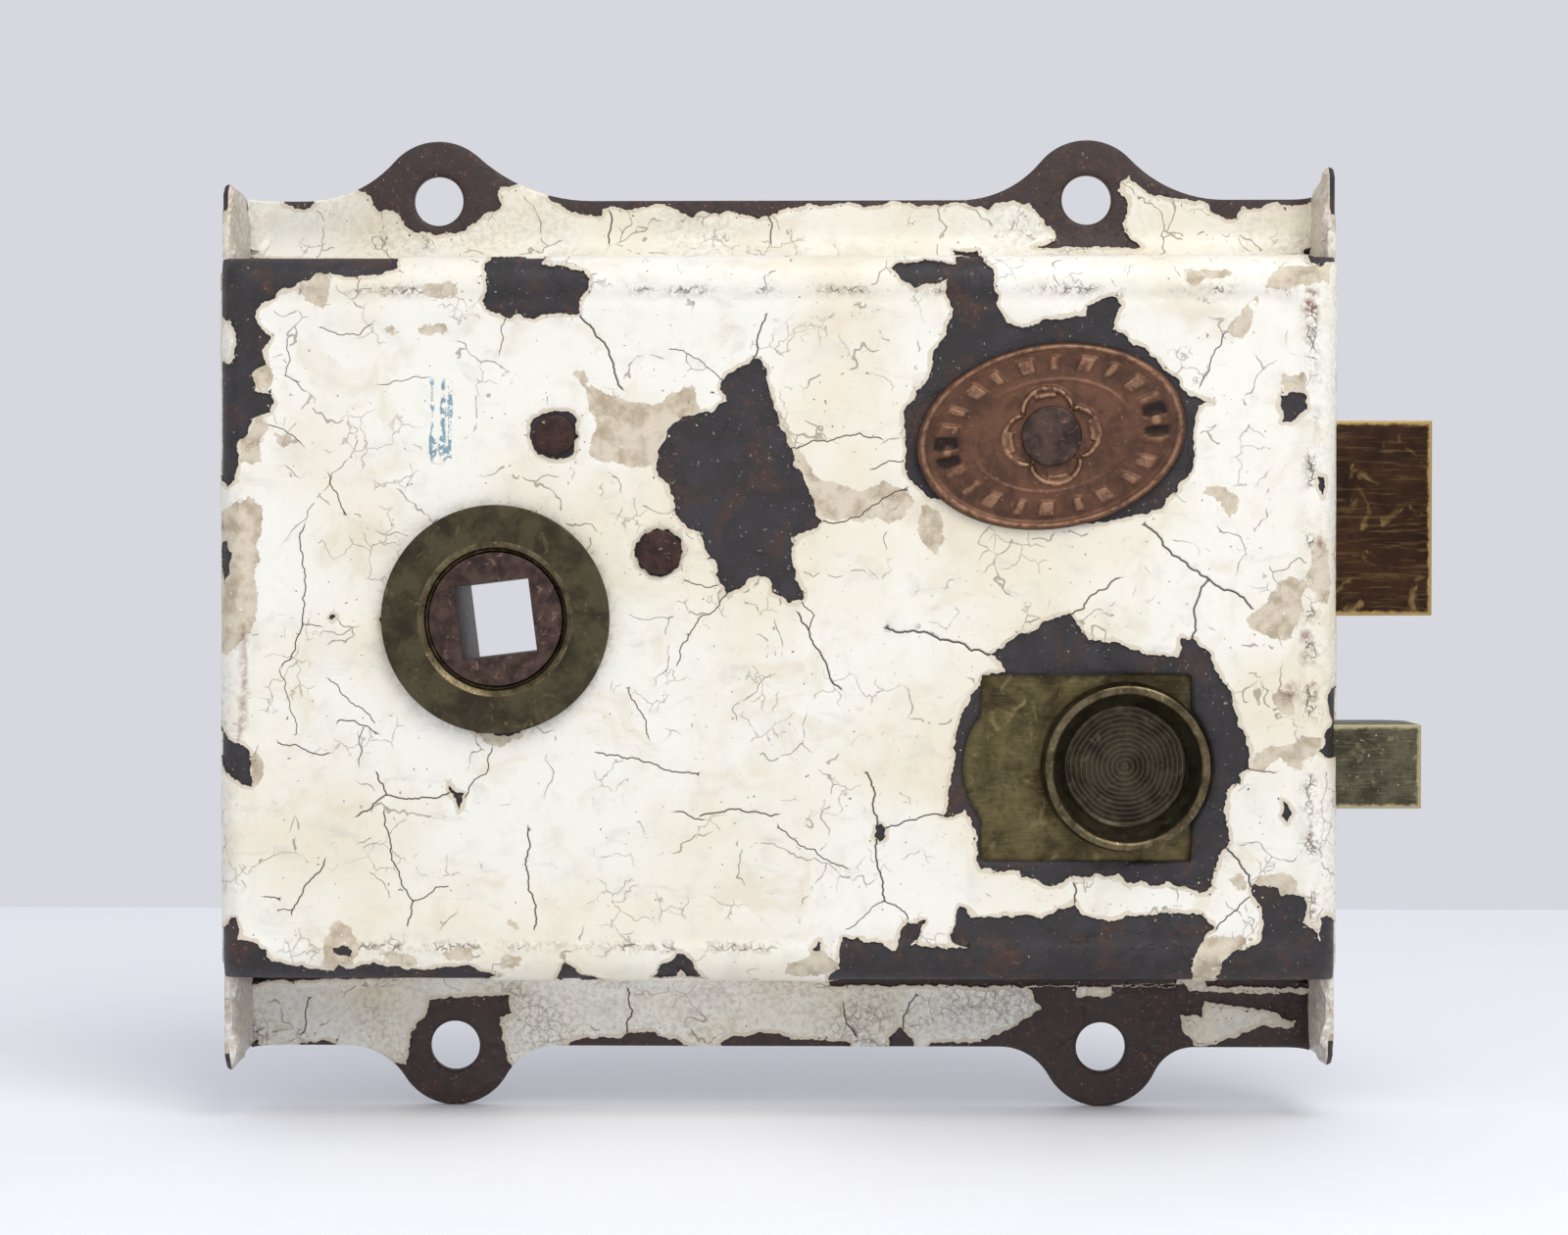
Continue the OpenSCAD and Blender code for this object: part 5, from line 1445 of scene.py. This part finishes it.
def cup_piece():
    """The finger cup: a turned lip, sloping wall and a floor with faint turning marks, in a darker
    brass that paints the shade of the hollow.
    """
    lo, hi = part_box("finger_cup")
    rim, tail = lo[1] / MM, hi[1] / MM
    floor, floor_r, sweep_r = -15.5, 6.4, 0.6
    mouth_r, spigot_r = 8.2, 8.0
    dish = [(6.2 * (1 - i / 24), floor + 0.03 * math.sin(i * 2.4)) for i in range(24)]
    dish.append((0.0, floor))
    wall = [
        (mouth_r - 1.15 * t**1.5, rim + 0.9 + (floor - rim - 1.6) * t)
        for t in (0, 0.25, 0.5, 0.75, 1)
    ]
    sweep = [
        (floor_r + sweep_r * math.cos(a), floor - sweep_r + sweep_r * math.sin(a))
        for a in (math.pi / 2 * i / 6 for i in range(1, 7))
    ]
    outside = [
        (spigot_r, tail), (spigot_r, -15.9), (9.62, -15.95), (9.55, -16.2), (9.2, -16.8),
        (8.98, -17.5), (8.95, rim + 0.9), (9.15, rim + 0.55), (9.28, rim + 0.35),
        (9.24, rim + 0.12), (9.05, rim), (8.75, rim), (8.45, rim + 0.1), (8.25, rim + 0.4),
    ]
    profile = [(0.0, tail)] + outside + wall + sweep + dish
    piece = lathe("cup_turned", "finger_cup", profile, CUP, "night", 160)
    dress(piece, CUP_METAL, LIP, CUP_FLOOR_SHADED)
    for face in piece.data.polygons:
        x, y, z = face.center / MM
        if y < rim + 0.5:
            face.material_index = 1
        elif math.hypot(x - CUP[0], z - CUP[1]) < 6.9 and y < -14.8:
            face.material_index = 2


def badge_height(p, q):
    """Height in mm of the badge at [p, q] along its own long and short axes."""
    oval = math.hypot(p / BADGE_A, q / BADGE_B)
    turn = math.atan2(q / BADGE_B, p / BADGE_A)
    height = 0.22 + 0.18 * (1 - oval**2)
    height += 0.42 * math.exp(-(((oval - 0.955) / 0.035) ** 2))
    height += 0.16 * math.exp(-(((oval - 0.6) / 0.018) ** 2))
    band = math.exp(-(((oval - 0.78) / 0.085) ** 6))
    bars = 0.5 + 0.5 * math.cos(22 * turn)
    pegs = 0.5 + 0.5 * math.cos(11 * turn + 0.8)
    height += 0.34 * band * min(1, max(0, (bars * 0.75 + pegs * 0.4 - 0.52) * 4))
    for side in (0, math.pi):
        off = math.hypot((math.cos(turn - side) - 1) * 9, math.sin(turn - side) * 9)
        height -= 0.3 * band * math.exp(-((off / 2.2) ** 4))
        bead = math.hypot(p - math.cos(side) * 0.78 * BADGE_A, q)
        height += 0.34 * math.exp(-((bead / 0.75) ** 4))
    r = math.hypot(p, q)
    petal = abs(math.cos(2 * math.atan2(q, p))) ** 0.8
    height += 0.4 * math.exp(-(((r - 3.9 - 1.5 * petal) / 0.32) ** 2)) * (petal > 0.12)
    height += 0.3 * math.exp(-(((r - 4.6) / 0.3) ** 2)) * (petal > 0.9)
    return height


def badge_piece():
    """The oval badge in relief, with plain bars, beads and petals."""
    field = FRONT_Y + DISH
    around, out_steps = 360, 64
    points, heights, faces = [], [], []
    top, middle_r = 0.9, RIVET_R - 0.3
    for layer in range(out_steps + 1):
        share = layer / out_steps
        for i in range(around):
            t = 2 * math.pi * i / around
            far = 1 / math.hypot(math.cos(t) / BADGE_A, math.sin(t) / BADGE_B)
            r = middle_r + (far - middle_r) * share
            p, q = r * math.cos(t), r * math.sin(t)
            height = min(badge_height(p, q), top) * (1 if share < 1 else 0.55)
            x = BADGE[0] + p * math.cos(BADGE_TURN) - q * math.sin(BADGE_TURN)
            z = BADGE[1] + p * math.sin(BADGE_TURN) + q * math.cos(BADGE_TURN)
            points.append((x, field - height, z))
            heights.append(height)
    for edge_layer in (out_steps, 0):
        for i in range(around):
            x, _, z = points[edge_layer * around + i]
            points.append((x, field + 0.02, z))
            heights.append(0.0)
    low_out, low_in = (out_steps + 1) * around, (out_steps + 2) * around
    for i in range(around):
        j = (i + 1) % around
        for layer in range(out_steps):
            a, b = layer * around, (layer + 1) * around
            faces.append((a + i, a + j, b + j, b + i))
        faces.append((out_steps * around + i, out_steps * around + j, low_out + j, low_out + i))
        faces.append((low_out + i, low_out + j, low_in + j, low_in + i))
        faces.append((low_in + i, low_in + j, j, i))
    piece = add_object("badge_relief", points, faces, "body",
                       [("height", np.array(heights) / 0.8)], sharp=60)
    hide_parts("badge")
    dress(piece, badge_finish())


def works():
    """The bolts, follower, back, rivets and screws with worn edges, and the springs as they are."""
    for node, width, slot, finish in [
        ("latch_bolt", 0.45, "brass_bolt", LATCH),
        ("night_bolt", 0.4, "brass_bolt", NIGHT),
        ("slide_plate", 0.15, "brass_slide", PLATE),
        ("follower", 0.3, "rusty_iron", HUB),
        ("latch_tail", 0.25, "steel_works", STEEL),
        ("back_cap", 0.25, "japanned_steel", BACK),
        ("rear_bush", 0.25, "brass_collar", BUSH),
        ("cap_screws", 0.12, "steel_screws", SCREWS),
        ("badge_pillar", 0.3, "copper_badge", HUB),
        ("upper_stump", 0.22, "rusty_iron", STUMPS),
        ("lower_stump", 0.25, "rusty_iron", STUMPS),
        ("spring_seat", 0.12, "steel_works", STEEL),
    ]:
        dress(bevelled(node, width, slot), finish)
    for node in ("follower_spring", "latch_spring", "detent_spring"):
        dress(frame["nodes"][node], SPRING)
    for node in ("latch_rivets", "night_stump", "detent_stump"):
        dress(frame["nodes"][node], STEEL)
    dress(frame["nodes"]["slide_rivets"], PLATE)


# ---------------------------------------------------------------- table, light and camera


def flat_board(name, corners, finish):
    """A large plain sheet of the stage, from its corners in mm."""
    mesh = bpy.data.meshes.new(name)
    mesh.from_pydata([tuple(c * MM for c in p) for p in corners], [], [(0, 1, 2, 3)])
    obj = bpy.data.objects.new(name, mesh)
    bpy.context.scene.collection.objects.link(obj)
    obj.data.materials.append(finish)


def stage_finish(name, colour, other):
    """Plain matt white, a little uneven."""
    f = Finish(name)
    f.bump(f.cloud(3, 4), 0.02, 0.3)
    return f.done(f.blend(f.cloud(60, 3), colour, other), f.level(f.cloud(20), 0.5, 0.7))


def soft_light(name, at, aim, size, power, colour=(1, 1, 1)):
    """A rectangular lamp size mm wide and high, turned to a point."""
    lamp = bpy.data.lights.new(name, "AREA")
    lamp.shape = "RECTANGLE"
    lamp.size, lamp.size_y = size[0] * MM, size[1] * MM
    lamp.energy = power
    lamp.color = colour
    obj = bpy.data.objects.new(name, lamp)
    obj.location = Vector(at) * MM
    obj.rotation_euler = (Vector(aim) - Vector(at)).to_track_quat("-Z", "Y").to_euler()
    bpy.context.scene.collection.objects.link(obj)


def set_stage():
    """White table that ends behind the lock, a pale room, soft lights and the camera."""
    floor_z, far_y = -57.7, 225
    white = stage_finish("table_white", tone(249, 250, 254), tone(245, 246, 251))
    flat_board("table", [(-900, -700, floor_z), (900, -700, floor_z), (900, far_y, floor_z),
                         (-900, far_y, floor_z)], white)
    aim = (32, -10, 0)
    soft_light("key", (190, -330, 420), aim, (320, 320), 1.58, (1, 0.98, 0.93))
    soft_light("fill", (-380, -360, 160), aim, (420, 420), 0.12, (0.95, 0.97, 1))
    soft_light("front", (40, -640, 120), aim, (500, 400), 0.15)
    world = bpy.data.worlds.new("soft_room")
    world.use_nodes = True
    room = world.node_tree.nodes["Background"]
    room.inputs["Color"].default_value = (0.69, 0.7, 0.75, 1)
    room.inputs["Strength"].default_value = 0.98
    bpy.context.scene.world = world
    bpy.context.scene.view_settings.view_transform = "Standard"

    lens = bpy.data.cameras.new("camera")
    lens.sensor_width = 36
    lens.lens = 76.4
    lens.clip_start, lens.clip_end = 0.01, 10
    camera = bpy.data.objects.new("camera", lens)
    at, look = Vector((39.5, -393, 6)) * MM, Vector((32.6, -18, 0.2)) * MM
    camera.location = at
    camera.rotation_euler = (look - at).to_track_quat("-Z", "Y").to_euler()
    bpy.context.scene.collection.objects.link(camera)
    bpy.context.scene.camera = camera


case_skin()
plate_skin("end_plate_painted", "end_plate", X0, LEFT_IN, [], [(46.5, 60), (-60, -49.5)])
plate_skin("forend_painted", "forend", X1, RIGHT_IN,
           [bolt_hole("latch_bolt"), bolt_hole("night_bolt")], [(45.6, 60), (-60, -48)])
collar_piece()
cup_piece()
badge_piece()
works()
set_stage()
